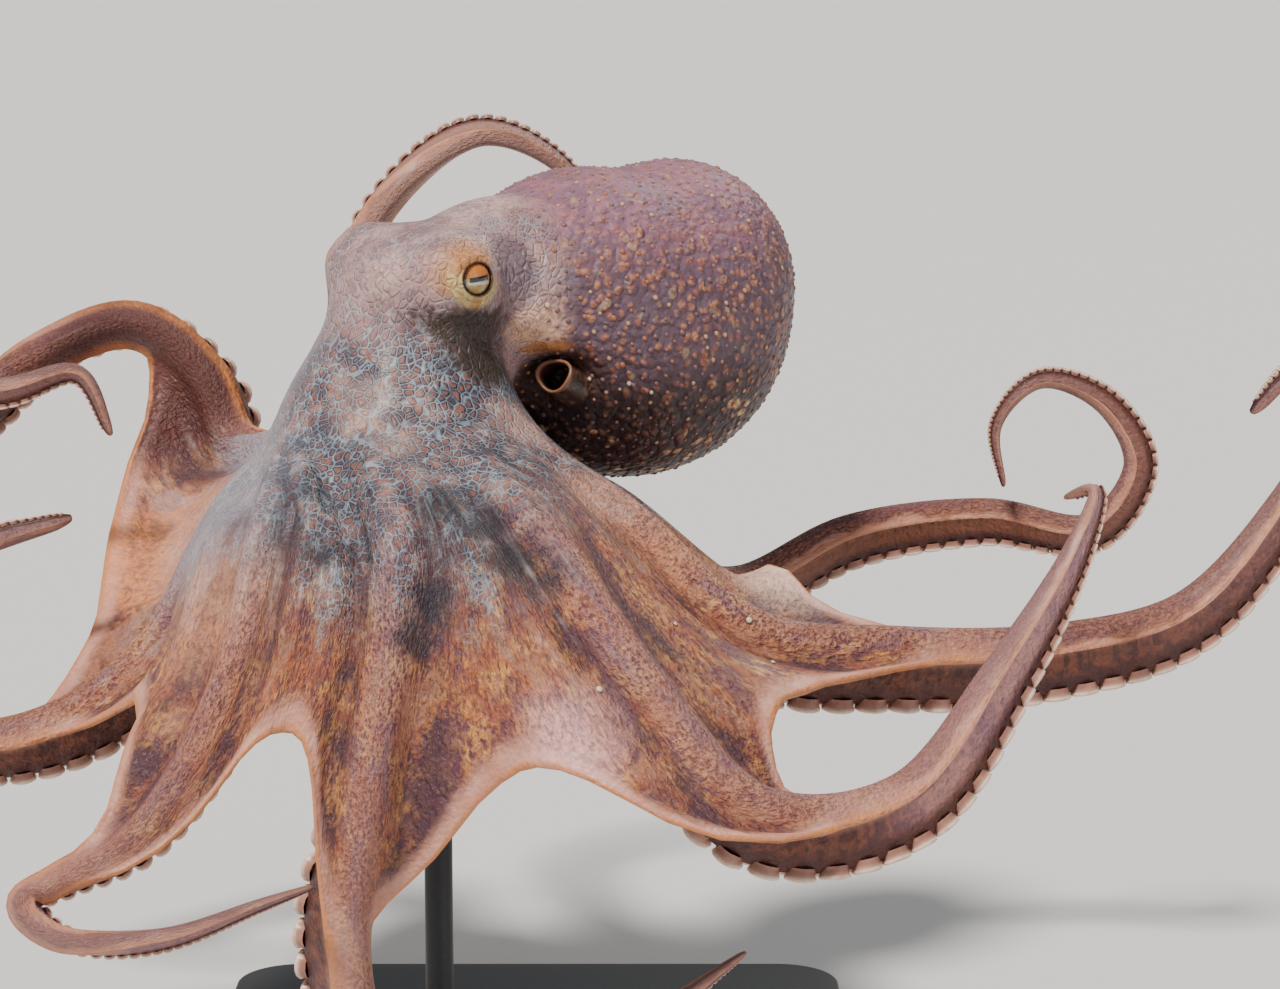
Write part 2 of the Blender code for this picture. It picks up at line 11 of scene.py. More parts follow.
import bmesh
import bpy
import numpy as np
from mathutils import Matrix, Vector


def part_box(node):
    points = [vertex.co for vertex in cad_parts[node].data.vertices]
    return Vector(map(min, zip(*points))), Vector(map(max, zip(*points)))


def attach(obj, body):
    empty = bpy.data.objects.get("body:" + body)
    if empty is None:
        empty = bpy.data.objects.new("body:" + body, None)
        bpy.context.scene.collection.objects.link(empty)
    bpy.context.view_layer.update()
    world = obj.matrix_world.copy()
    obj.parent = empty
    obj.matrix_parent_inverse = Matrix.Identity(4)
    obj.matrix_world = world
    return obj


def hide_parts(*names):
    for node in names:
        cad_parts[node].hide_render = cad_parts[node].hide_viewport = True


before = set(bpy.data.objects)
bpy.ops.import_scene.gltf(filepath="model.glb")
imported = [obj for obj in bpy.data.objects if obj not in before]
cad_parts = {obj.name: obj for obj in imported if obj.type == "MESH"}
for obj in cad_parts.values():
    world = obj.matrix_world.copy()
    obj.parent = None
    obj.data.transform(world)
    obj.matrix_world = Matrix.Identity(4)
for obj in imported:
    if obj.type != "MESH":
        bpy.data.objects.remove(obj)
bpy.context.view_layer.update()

CM, MM = 0.01, 0.001
HEAD_AT = np.array((-0.050, -0.025, 0.373))  # the middle of the head, over the stand's base
FACING = math.radians(-137)  # azimuth that the animal's brow faces
TRAIL = math.radians(40)  # azimuth that the mantle trails towards
CROWN = np.array((-0.7, -0.8, -4.7))  # the middle of the ring of arms, in cm from the head's middle
CROWN_RADIUS = 4.5
print("frame:", len(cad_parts), "nodes")

# %% Small sums on places
def unit(v):
    v = np.asarray(v, float)
    return v / np.linalg.norm(v, axis=-1, keepdims=True)


def heading(azimuth):
    return np.array((math.cos(azimuth), math.sin(azimuth), 0.0))


def place(point_cm):
    """Centimetres from the middle of the head, as metres over the stand."""
    return HEAD_AT + np.asarray(point_cm, float) * CM


def ease(t):
    t = np.clip(t, 0.0, 1.0)
    return t * t * (3 - 2 * t)


def steps_along(points):
    """The length along a line of points, from its first one to each."""
    return np.concatenate([[0], np.cumsum(np.linalg.norm(np.diff(points, axis=0), axis=1))])


def curve(p, f):
    """The share f of the way from p[1] to p[2], on a smooth curve through four places."""
    return 0.5 * (2 * p[1] + (p[2] - p[0]) * f + (2 * p[0] - 5 * p[1] + 4 * p[2] - p[3]) * f**2
                  + (3 * p[1] - p[0] - 3 * p[2] + p[3]) * f**3)


def circle(count):
    """Even turns, their cosines and their sines, as columns."""
    turns = np.linspace(0, 2 * math.pi, count, endpoint=False)[:, None]
    return turns, np.cos(turns), np.sin(turns)


# %% From a mesh to an object
def join_rings(bm, rings):
    """Faces between each ring of points and the next one."""
    for lower, upper in zip(rings, rings[1:]):
        for i in range(len(lower)):
            j = (i + 1) % len(lower)
            bm.faces.new((lower[i], lower[j], upper[j], upper[i]))


def add_object(data):
    obj = bpy.data.objects.new(data.name, data)
    bpy.context.collection.objects.link(obj)
    return obj


def finished(bm, name, turn_out=True):
    """The smooth object that a bmesh makes, with its faces turned outward unless they already are."""
    if turn_out:
        bmesh.ops.recalc_face_normals(bm, faces=bm.faces[:])
    mesh = bpy.data.meshes.new(name)
    bm.to_mesh(mesh)
    bm.free()
    mesh.shade_smooth()
    print(name + ":", len(mesh.vertices), "points,", len(mesh.loops) - 2 * len(mesh.polygons), "triangles")
    return add_object(mesh)


# %% [markdown]
# ## The arms' routes
# Each arm leaves the ring under the head, curves through the water and ends in a thin tip. Its route is a
# smooth curve through a few places, and its back (the side without suckers) turns as it goes. The same
# routes carry the solids that the physics uses, so the skin lies on them.

# %% The table of routes
ARMS = {  # name: (height, taper, tip height, reach of the web, in metres), route in cm, (share, back's way)
    "arm_left_1": ((0.041, 3.2, 0.003, 0.250),
        [(0.1, -11.6, -10.2), (-1.4, -14.8, -19.3), (-2.7, -14.7, -25.8), (-1.5, -13.6, -31.3),
         (2.8, -11.8, -33.5), (8.8, -9.9, -32.1), (14.8, -9.5, -28.0)],
        [(0.25, (-0.1, -0.97, 0.2)), (0.38, (0.2, -0.95, 0.0)), (0.52, (0.75, -0.65, 0.0)),
         (0.62, (0.6, -0.7, 0.4)), (0.75, (0.0, -0.75, 0.65)), (1.0, (-0.1, -0.8, 0.6))]),
    "arm_left_2": ((0.043, 3.2, 0.004, 0.285),
        [(5.0, -10.2, -8.7), (9.9, -15.4, -15.1), (15.1, -17.6, -20.2), (21.2, -15.7, -20.0),
         (25.8, -12.3, -14.9), (29.0, -9.5, -9.9), (29.7, -8.5, -7.7), (28.4, -7.7, -8.2)],
        [(0.2, (0.3, -0.8, 0.5)), (0.36, (0.2, -0.5, 0.85)), (0.5, (-0.15, -0.25, 0.95)),
         (0.635, (-0.6, -0.1, 0.8)), (0.79, (-0.8, -0.1, 0.6)), (1.0, (-0.6, -0.2, 0.1))]),
    "arm_left_3": ((0.043, 2.9, 0.006, 0.250),
        [(8.7, -5.7, -9.85), (14.6, -7.0, -15.0), (21.3, -5.8, -16.1), (28.9, -3.9, -16.2),
         (34.9, -2.6, -14.7), (39.2, -1.3, -10.1), (41.1, -1.0, -5.8), (39.5, -1.1, -3.6),
         (37.4, -1.8, -5.4)],
        [(0.2, (0.5, -0.3, 0.8)), (0.45, (0.05, -0.2, 0.98)), (0.69, (-0.4, -0.1, 0.9)),
         (0.81, (-0.85, -0.1, 0.5)), (0.9, (-1.0, 0.0, 0.0)), (0.95, (-0.3, -0.1, -0.95)),
         (1.0, (0.8, -0.1, -0.5))]),
    "arm_left_4": ((0.034, 2.4, 0.003, 0.180),
        [(6.2, 3.8, -10.4), (9.7, 7.5, -14.2), (14.6, 11.8, -16.5), (20.5, 15.1, -14.4),
         (27.4, 15.7, -13.5), (32.7, 14.6, -13.8), (34.9, 14.4, -10.4), (33.1, 14.5, -7.2),
         (29.8, 14.4, -6.1), (27.6, 13.8, -8.3), (28.0, 13.2, -11.4)],
        [(0.2, (0.3, -0.1, 0.95)), (0.6, (0.0, -0.2, 0.98)), (0.67, (-0.5, -0.2, 0.8)),
         (0.74, (-1.0, -0.1, 0.0)), (0.81, (-0.6, -0.1, -0.8)), (0.88, (0.0, -0.1, -1.0)),
         (0.94, (0.95, -0.1, -0.3)), (1.0, (1.0, -0.1, 0.2))]),
    "arm_right_4": ((0.032, 3.4, 0.005, 0.185),
        [(0.3, 8.0, -10.6), (-1.6, 14.5, -11.2), (-4.0, 19.4, -7.2), (-4.7, 21.8, -1.7), (-2.4, 22.8, 2.5),
         (1.9, 23.9, 5.3), (6.0, 24.5, 3.6), (8.3, 24.8, -0.3)],
        [(0.17, (0.0, 0.25, 0.97)), (0.38, (0.1, -0.5, 0.85)), (0.54, (0.15, -0.9, 0.35)),
         (0.65, (0.25, -0.9, 0.1)), (0.78, (0.05, -0.75, -0.6)), (1.0, (-0.6, -0.75, -0.3))]),
    "arm_right_3": ((0.038, 2.6, 0.005, 0.200),
        [(-6.0, 7.6, -8.8), (-9.1, 11.3, -9.7), (-11.0, 13.4, -6.0), (-14.5, 14.4, -3.5),
         (-18.7, 13.4, -4.6), (-23.2, 10.5, -8.1), (-25.8, 7.2, -8.0), (-23.6, 4.3, -5.7),
         (-18.9, 3.2, -5.1), (-15.8, 3.1, -4.3), (-14.3, 3.0, -7.2)],
        [(0.12, (-0.3, 0.3, 0.85)), (0.21, (-0.35, -0.3, 0.8)), (0.33, (-0.35, -0.85, 0.35)),
         (0.4, (-0.15, -0.95, 0.15)), (0.5, (0.0, -0.95, 0.1)), (0.56, (-0.4, -0.75, 0.35)),
         (0.62, (-0.7, -0.3, 0.6)), (0.7, (-0.5, 0.0, 0.85)), (0.87, (0.0, -0.3, 0.95)),
         (1.0, (0.8, -0.3, 0.3))]),
    "arm_right_2": ((0.041, 2.2, 0.007, 0.205),
        [(-7.8, 0.0, -10.3), (-10.8, -1.3, -16.1), (-15.2, -2.9, -19.5), (-20.3, -4.4, -20.1),
         (-23.8, -3.9, -17.5), (-24.1, -2.5, -14.2), (-21.1, -1.3, -11.9), (-15.6, -0.6, -10.3)],
        [(0.15, (-0.85, 0.2, 0.5)), (0.31, (-0.6, -0.2, 0.8)), (0.44, (-0.2, -0.3, 0.92)),
         (0.57, (0.3, -0.3, 0.9)), (0.68, (0.9, -0.2, 0.3)), (0.77, (0.85, -0.1, -0.5)),
         (1.0, (0.35, -0.3, -0.88))]),
    "arm_right_1": ((0.037, 1.7, 0.003, 0.262),
        [(-5.4, -9.1, -9.3), (-7.0, -13.7, -15.6), (-10.7, -15.5, -21.2), (-14.1, -15.8, -23.0),
         (-15.5, -16.6, -23.7), (-13.9, -17.6, -24.9), (-9.7, -17.8, -24.9), (-5.6, -17.2, -23.6),
         (-3.3, -17.9, -22.6)],
        [(0.21, (-0.6, -0.6, 0.5)), (0.39, (-0.5, -0.7, 0.5)), (0.55, (-0.25, -0.8, 0.55)),
         (0.64, (-0.1, -0.9, 0.4)), (0.69, (-0.1, -1.0, 0.05)), (0.74, (0.0, -0.95, 0.25)),
         (0.83, (0.0, -0.5, 0.85)), (1.0, (0.0, -0.35, 0.93))]),
}
ROOT_LENGTH, ROOT_SHARE, ROOT_SLENDERNESS, FULL_SLENDERNESS = 0.12, 0.66, 0.86, 0.62
print("arms in the table:", len(ARMS))

# %% A smooth curve, and an arm along it
def smooth_route(points, steps=60):
    """A centripetal Catmull-Rom curve through the points, and the length along it."""
    pts = np.vstack([points, 2 * np.array(points[-1]) - points[-2]])
    knots = np.concatenate([[0], np.cumsum(np.sqrt(np.linalg.norm(np.diff(pts, axis=0), axis=1)))])
    line = []
    for i in range(1, len(pts) - 2):
        p, k = pts[i - 1:i + 3], knots[i - 1:i + 3]
        t = np.linspace(k[1], k[2], steps, endpoint=i == len(pts) - 3)[:, None]
        a = [((k[j + 1] - t) * p[j] + (t - k[j]) * p[j + 1]) / (k[j + 1] - k[j]) for j in range(3)]
        b = [((k[j + 2] - t) * a[j] + (t - k[j]) * a[j + 1]) / (k[j + 2] - k[j]) for j in range(2)]
        line.append(((k[2] - t) * b[0] + (t - k[1]) * b[1]) / (k[2] - k[1]))
    line = np.vstack(line)
    return line, steps_along(line)


class Arm:
    def __init__(self, number, name):
        (self.height, self.taper, self.tip, self.reach), route, backs = ARMS[name]
        outward = heading(FACING + math.radians(22.5 + 45 * number))
        root = CROWN + CROWN_RADIUS * outward
        self.name = name
        self.line, self.lengths = smooth_route([place(p) for p in [root + (0, 0, 4), root, *route]])
        self.length = self.lengths[-1]
        backs = [(0.0, outward), *backs]
        self.back_at = np.array([share for share, _ in backs]) * self.length
        self.backs = unit([way for _, way in backs])

    def centre(self, s):
        return np.stack([np.interp(s, self.lengths, self.line[:, k]) for k in range(3)], -1)

    def axes(self, s):
        """The way along the arm, the way its back faces, and the way to the next arm round."""
        step = 0.006
        along = unit(self.centre(np.minimum(s + step, self.length)) - self.centre(np.maximum(s - step, 0)))
        settle = ease(s / 0.05)[..., None]
        along = unit(settle * along + (1 - settle) * np.array((0, 0, -1.0)))
        back = np.stack([np.interp(s, self.back_at, self.backs[:, k]) for k in range(3)], -1)
        back = unit(back - (back * along).sum(-1, keepdims=True) * along)
        return along, back, np.cross(back, along)

    def section(self, s):
        """The section's full height and width."""
        full = self.tip + (self.height - self.tip) * (1 - (s / self.length)**self.taper)
        swell = ease(s / ROOT_LENGTH)
        to_end = np.clip((self.length - s) / (1.6 * self.tip), 0, 1)
        height = full * (ROOT_SHARE + (1 - ROOT_SHARE) * swell) * np.sqrt(1 - 0.9 * (1 - to_end)**2)
        return height, height * (ROOT_SLENDERNESS + (FULL_SLENDERNESS - ROOT_SLENDERNESS) * swell)


arms = [Arm(number, name) for number, name in enumerate(ARMS)]
for arm in arms:
    print(f"{arm.name}: {arm.length * 100:.0f} cm along its curve")

# %% [markdown]
# ## The skin's arms and webs
# The skin is one closed surface. Rows of points run from the crown outward: over each arm's back and down
# its two sides, and over and under each web. Beyond the web's margin each arm goes on alone as a tube. Rows
# that follow the animal's own growth keep every edge smooth, which a surface wrapped over lumps wouldn't.

# %% Sizes of the skin's mesh
ROWS, FREE_ROWS = 90, 84  # rows to the web's end, and from there to an arm's tip
BACK, BELLY, WEB = 8, 16, 16  # steps across an arm's back, round its other sides, and across a web
WEB_THICK, MARGIN_THICK = 0.0024, 0.0034
WEBS = [  # round from the left first arm: cut back of the margin, squareness, billow, share of the rows
    (0.31, 2.1, 0.04, 1.0), (0.26, 2.6, 0.02, 1.0), (0.26, 2.6, 0.03, 1.0), (0.42, 2.6, -0.08, 1.0),
    (0.30, 3.0, 0.02, 0.7), (0.26, 2.6, 0.04, 1.0), (0.26, 2.6, 0.05, 1.0), (0.33, 2.6, 0.03, 1.0)]
# The section as (share of half its width, share of its height), round from the back. The lowest places
# leave room for the suckers.
SECTION = np.array([(0, 0.5), (0.92, 0.24), (0.96, -0.05), (0.7, -0.34), (0, -0.41), (-0.7, -0.34),
                    (-0.96, -0.05), (-0.92, 0.24)])


def round_section(t):
    """Places on a closed smooth curve through SECTION: t counts its corners."""
    i = np.floor(t).astype(int)
    return curve([SECTION[(i + k) % len(SECTION)] for k in (-1, 0, 1, 2)], (t % 1)[:, None])


def turn_of(number):
    """The place round the ring of arms, counted in arms, as two shares that meet without a seam."""
    angle = math.pi / 4 * np.asarray(number, float)
    return {"round_x": np.cos(angle), "round_y": np.sin(angle)}


# %% Points that know their place
class Shape:
    """Points and faces that grow together, with what each point knows of its place on the animal."""
    KNOWN = ("reach", "under", "edge", "ridge", "free", "tip", "mantle", "round_x", "round_y", "eye_x",
             "eye_y")

    def __init__(self):
        self.points, self.faces, self.known, self.count = [], [], {k: [] for k in self.KNOWN}, 0

    def add(self, points, **known):
        shape = points.shape[:-1]
        self.points.append(points.reshape(-1, 3))
        for key in self.KNOWN:
            self.known[key].append(np.broadcast_to(known.get(key, 0.0), shape).reshape(-1))
        ids = np.arange(self.count, self.count + self.points[-1].shape[0]).reshape(shape)
        self.count = ids.flat[-1] + 1
        return ids

    def quads(self, ids):
        """A face between each two rows and each two columns of the ids."""
        a, b, c, d = ids[:-1, :-1], ids[:-1, 1:], ids[1:, 1:], ids[1:, :-1]
        self.faces += np.stack([a, b, c, d], -1).reshape(-1, 4).tolist()

    def mesh(self, name):
        mesh = bpy.data.meshes.new(name)
        mesh.from_pydata(np.vstack(self.points).tolist(), [], self.faces)
        for key in self.KNOWN:
            mesh.attributes.new(key, "FLOAT", "POINT").data.foreach_set(
                "value", np.concatenate(self.known[key]).astype(np.float32))
        return mesh


# Heights of the soft forms on a web, and how far off a margin still counts, in metres.
FOLD, PLEAT, WAVE, GUTTER, FAR = 0.0017, 0.0007, 0.0016, 0.0028, 0.05
SMOOTH_ROWS, SMOOTH_ROUNDS, SWELL = 54, 160, 1.03  # for the cone near the head


def web_edge(n, s, arm):
    """How far the arm's shoulder is from the web's free margin beside it, in metres, at lengths s."""
    cut, square, _, share = WEBS[n]
    left = np.clip(1 - (1 - s / arm.reach / share) / cut, 0, 1)
    across = 0.5 * (1 - left**(1 / square))
    span = 0.035 + 0.75 * s * 0.8
    return np.where(s / arm.reach < share * (1 - cut), FAR, np.minimum(across * span, FAR))


# %% The eight arms
skin = Shape()
for n, arm in enumerate(arms):
    q = np.linspace(0, 1, FREE_ROWS + 1)[1:]
    s = np.concatenate([np.linspace(0, arm.reach, ROWS + 1),
                        arm.reach + (arm.length * 0.998 - arm.reach) * (1 - (1 - q)**1.3)])
    _, back, way = arm.axes(s)
    height, width = arm.section(s)
    inset = WEB_THICK / 0.041 / 0.29

    def ring(t):
        across, up = round_section(t).T
        wide = (width[:, None] / 2 * across)[..., None] * way[:, None]
        return arm.centre(s)[:, None] + wide + (height[:, None] * up)[..., None] * back[:, None], across

    top, across = ring(np.linspace(7, 9, BACK + 1))
    edges = [web_edge((n - 1) % 8, s, arm), web_edge(n, s, arm)]  # towards the arm before, and the next one
    edge = np.minimum(edges[0][:, None] + width[:, None] / 2 * (1 + across),
                      edges[1][:, None] + width[:, None] / 2 * (1 - across))
    ridge = (1 - np.abs(across)**3)[None] * np.ones_like(edge)
    free, tip = ease((s[:, None] - arm.reach) / 0.05), ease((s[:, None] / arm.length - 0.5) / 0.5)
    own = {"reach": s[:, None], "edge": edge, "free": free, "tip": tip}
    arm.top_ids = skin.add(top, ridge=ridge, **own, **turn_of(n + 0.2 * across))
    low, across = ring(np.linspace(1 + inset, 7 - inset, BELLY + 1))
    deep = np.linspace(0, 1, BELLY + 1)
    under = 0.35 + 0.65 * ease((0.5 - np.abs(deep - 0.5)) / 0.3)
    edge = 0.003 + 0.05 * (0.5 - np.abs(deep - 0.5))[None] + np.where(
        deep[None] < 0.5, edges[1][:, None], edges[0][:, None])
    arm.low_ids = skin.add(low, under=under, **{**own, "edge": edge}, **turn_of(n + 0.2 * across))
    skin.quads(arm.top_ids)
    skin.quads(arm.low_ids)

    # Past the web, a low flange runs on along each shoulder and fades.
    flange = (0.0022 * (1 - ease((s - arm.reach) / (0.75 * (arm.length - arm.reach))))
              * (height / arm.height) + 0.0004)[:, None]
    arm.mid_ids = []
    for side, upper, lower, web in ((-1, top[:, 0], low[:, -1], (n - 1) % 8), (1, top[:, -1], low[:, 0], n)):
        first = round(ROWS * WEBS[web][3])
        middle = ((upper + lower) / 2 + side * way * flange)[first:]
        ids = skin.add(middle, reach=s[first:], under=0.2, free=free[first:, 0], tip=tip[first:, 0],
                       **turn_of(n + 0.2 * side))
        arm.mid_ids.append(ids)
        upper_ids = arm.top_ids[first:, 0 if side < 0 else -1]
        lower_ids = arm.low_ids[first:, -1 if side < 0 else 0]
        pair = (lower_ids, ids, upper_ids) if side < 0 else (upper_ids, ids, lower_ids)
        skin.quads(np.stack(pair, 1))
    end = skin.add(arm.centre(arm.length)[None], reach=arm.length, free=1.0, tip=1.0, **turn_of(n))[0]
    rim = [*arm.top_ids[-1], arm.mid_ids[1][-1], *arm.low_ids[-1], arm.mid_ids[0][-1]]
    skin.faces += [[a, b, end] for a, b in zip(rim, rim[1:] + rim[:1])]
print("arms:", skin.count, "points")

# %% The webs between them
linear = np.arange(WEB + 1) / WEB
WEB_SHARES = 0.5 * linear + 0.25 * (1 - np.cos(math.pi * linear))
crown_top, crown_low, cone_top, cone_low = [], [], [], []
for n, (cut, square, billow, share) in enumerate(WEBS):
    arm, following = arms[n], arms[(n + 1) % 8]
    rows = np.arange(round(ROWS * share) + 1) / ROWS
    v = WEB_SHARES[None, :]
    u = rows[:, None] * (1 - cut * (1 - np.abs(2 * v - 1)**square))
    ends = []
    for owner, side in ((arm, 1), (following, -1)):
        s = u * owner.reach
        _, back, way = owner.axes(s)
        height, width = owner.section(s)
        edge = (owner.centre(s) + side * 0.92 * width[..., None] / 2 * way + 0.24 * height[..., None] * back
                - 0.5 * WEB_THICK * back)
        ends.append((edge, side * way, back))
    (a, a_way, a_back), (b, b_way, b_back) = ends
    span = np.linalg.norm(b - a, axis=-1, keepdims=True)
    w = v[..., None]
    leave, arrive = w - 2 * w**2 + w**3, w**2 - w**3
    middle = a + (3 * w**2 - 2 * w**3) * (b - a) + span * (leave * a_way + arrive * b_way)
    grown = ease(rows / 0.3)[:, None, None]
    middle = middle + billow * 4 * w * (1 - w) * span * grown * unit(a_back + b_back)
    down, over = np.gradient(middle, axis=0), np.gradient(middle, axis=1)
    normal = unit(np.cross(down, over))
    normal[:, 0], normal[:, -1] = a_back[:, 0], b_back[:, -1]
    s = u * (arm.reach * (1 - v) + following.reach * v)
    off_margin = np.minimum(s[-1:] - s, FAR)
    # Soft folds run down the web, and its margin waves a little.
    held = np.sin(math.pi * v)**0.7 * ease((rows[:, None] - 0.28) / 0.32)
    folds = FOLD * np.sin(2 * math.pi * (2.6 * v + 0.37 * n + 0.25 * np.sin(5 * rows[:, None] + n)))
    folds = folds + PLEAT * np.sin(2 * math.pi * (5.3 * v + 0.61 * n - 0.3 * rows[:, None]))
    waves = WAVE * np.exp(-off_margin / 0.013) * np.sin(2 * math.pi * (2.2 * v + 0.23 * n))
    middle = middle + (held * (folds + waves))[..., None] * normal
    thick = (WEB_THICK + (MARGIN_THICK - WEB_THICK) * (1 - ease(off_margin / 0.006)))[..., None]
    beside = [web_edge(n, s[:, 0], arm)[:, None] + v * span[..., 0],
              web_edge(n, s[:, -1], following)[:, None] + (1 - v) * span[..., 0]]
    # A gutter runs along each side of an arm's back.
    from_arm = np.minimum(v, 1 - v) * span[..., 0]
    gutter = GUTTER * np.exp(-((from_arm - 0.007) / 0.0045)**2) * ease((rows[:, None] - 0.22) / 0.2)
    middle = middle - (gutter * ease(off_margin / 0.03))[..., None] * normal
    edge = np.minimum(off_margin, np.minimum(*beside))
    inner, turned = slice(1, -1), turn_of(n + 0.2 + 0.6 * WEB_SHARES[1:-1])
    known = {"reach": s[:, inner], "edge": edge[:, inner], **turned}
    tops = skin.add((middle + normal * thick / 2)[:, inner], **known)
    lows = skin.add((middle - normal * thick / 2)[:, inner], under=1.0, **known)
    outer = skin.add((middle + unit(down) * thick / 2.4)[-1, inner], reach=s[-1, inner], under=0.2, **turned)
    count = len(rows)
    top_ids = np.hstack([arm.top_ids[:count, -1:], tops, following.top_ids[:count, :1]])
    low_ids = np.hstack([arm.low_ids[:count, :1], lows, following.low_ids[:count, -1:]])
    margin = np.concatenate([arm.mid_ids[1][:1], outer, following.mid_ids[0][:1]])
    skin.quads(top_ids)
    skin.quads(low_ids[:, ::-1])
    skin.quads(np.stack([top_ids[-1], margin, low_ids[-1]]))
    crown_top += [*arm.top_ids[0], *tops[0]]
    crown_low += [*arm.low_ids[0][::-1], *lows[0]]
    cone_top += [arm.top_ids[:SMOOTH_ROWS], tops[:SMOOTH_ROWS]]
    cone_low += [arm.low_ids[:SMOOTH_ROWS, -1:], np.full((SMOOTH_ROWS, BACK - 1), -1),
                 arm.low_ids[:SMOOTH_ROWS, :1], lows[:SMOOTH_ROWS]]
print("with the webs:", skin.count, "points")

# %% The cone under the head
# Near the head the arms don't show: the web is grown over them in one smooth cone, which their backs
# only gradually rise out of.
points = np.vstack(skin.points)
cone_top, cone_low = np.hstack(cone_top), np.hstack(cone_low)
cone = points[cone_top]
smooth = cone.copy()
for _ in range(SMOOTH_ROUNDS):
    smooth = 0.5 * smooth + 0.25 * (np.roll(smooth, 1, 1) + np.roll(smooth, -1, 1))
middle = smooth.mean(1, keepdims=True)
smooth = middle + SWELL * (smooth - middle)
share = (1 - ease((np.arange(SMOOTH_ROWS) / ROWS - 0.09) / 0.29))[:, None, None]
shift = share * (smooth - cone)
points[cone_top] += shift
points[cone_low[cone_low >= 0]] += shift[cone_low >= 0]
for n, arm in enumerate(arms):  # the arm's sides follow its shoulders
    first = n * (BACK + WEB)
    for k in range(1, BELLY):
        fade = 1 - ease(min(k, BELLY - k) / (0.4 * BELLY))
        column = first if k > BELLY / 2 else first + BACK
        points[arm.low_ids[:SMOOTH_ROWS, k]] += fade * shift[:, column]
skin.points = [points]
print("arms and webs:", skin.count, "points")

# %% [markdown]
# ## Head and mantle
# Head and mantle are rounded lobes of muscle that run softly into each other: the skull, the two bulges
# that carry the eyes, the nape and the mantle's bag. The skin here is a sock of rings that starts at the
# ring of arms, goes up over the head and ends behind the mantle, and every point is then moved on to the
# lobes' common surface.

# %% Lobes and stations
LOBES = [  # middle in cm from the head's, half lengths along the trail, across it and up
    ((0.1, 0.1, -0.6), (3.8, 3.9, 3.5)), ((-0.5, -0.7, -4.6), (4.7, 4.9, 3.4)),
    ((3.4, 3.0, -0.1), (4.3, 4.2, 3.9)), ((9.4, 7.9, -2.7), (8.1, 7.0, 7.1)),
    ((7.2, 6.0, -0.4), (5.6, 5.8, 5.3)), ((11.8, 9.9, -0.5), (5.2, 5.8, 5.5))]
for side in (1, -1):  # the bulges of the eyes
    bulge = side * 2.85 * heading(FACING + math.pi / 2) + 0.4 * heading(FACING) + (0, 0, 0.8)
    LOBES.append((bulge, (1.9, 1.9, 1.95)))
BLEND = 0.5
HOLLOW, LIP, FLAP, CREASE = -0.95, 0.16, 0.34, -0.07  # heights of the forms behind the head, in cm
TRAIL_WAY, SIDE_WAY, UP_WAY = heading(TRAIL), heading(TRAIL + math.pi / 2), np.array((0, 0, 1.0))
# The sock's rings: highest or foremost place, lowest or rearmost place (both along the trail and up), and
# half width, in cm.
STATIONS = np.array([
    (-5.6, -4.7, 3.9, -4.7, 5.0), (-5.0, -3.2, 3.95, -4.6, 4.6), (-4.2, -1.2, 4.0, -4.5, 4.3),
    (-3.2, 1.2, 4.05, -4.5, 4.4), (-1.0, 2.7, 4.1, -4.5, 4.4), (2.0, 3.4, 4.15, -4.55, 4.3),
    (4.9, 3.9, 4.3, -4.7, 4.3), (7.5, 4.6, 4.8, -5.7, 5.2), (10.5, 5.0, 6.3, -7.7, 6.4),
    (14.0, 5.1, 9.0, -9.2, 7.0), (17.0, 4.3, 12.3, -9.8, 6.7), (19.3, 2.3, 16.0, -9.0, 5.2),
    (20.3, -0.2, 18.6, -6.6, 3.3), (20.6, -2.2, 20.5, -3.2, 0.5)])
RINGS = 132
print("lobes:", len(LOBES), "stations:", len(STATIONS))

# %% Rules that draw a point on to the flesh
def depth(points):
    """Below zero inside the flesh, in cm."""
    total = 0
    for middle, halves in LOBES:
        away = points - middle
        local = np.stack([away @ TRAIL_WAY, away @ SIDE_WAY, away @ UP_WAY], -1) / halves
        total = total + np.exp(-(np.linalg.norm(local, axis=-1) - 1) * min(halves) / BLEND)
    return -BLEND * np.log(total)


def slope(points, step=0.05):
    return np.stack([depth(points + step * e) - depth(points - step * e) for e in np.eye(3)], -1) / (2 * step)


def onto_flesh(points, rounds=8):
    for _ in range(rounds):
        grade = slope(points)
        move = depth(points) / np.maximum((grade**2).sum(-1), 0.3)
        points = points - np.clip(move, -0.8, 0.8)[..., None] * grade
    return points


def even_out(points, rounds):
    """Slide the points towards the middle of their neighbours, but keep the first and last rings."""
    for _ in range(rounds):
        beside = (np.roll(points, 1, 1) + np.roll(points, -1, 1)) / 2
        between = (points[:-2] + points[2:]) / 2
        points[1:-1] = 0.4 * points[1:-1] + 0.3 * beside[1:-1] + 0.3 * between
    return points


def catmull(values, t):
    """A smooth curve through evenly counted rows of values."""
    padded = np.vstack([2 * values[0] - values[1], values, 2 * values[-1] - values[-2]])
    i = np.minimum(t.astype(int), len(values) - 2)
    return curve([padded[i + k] for k in range(4)], (t - i)[:, None])


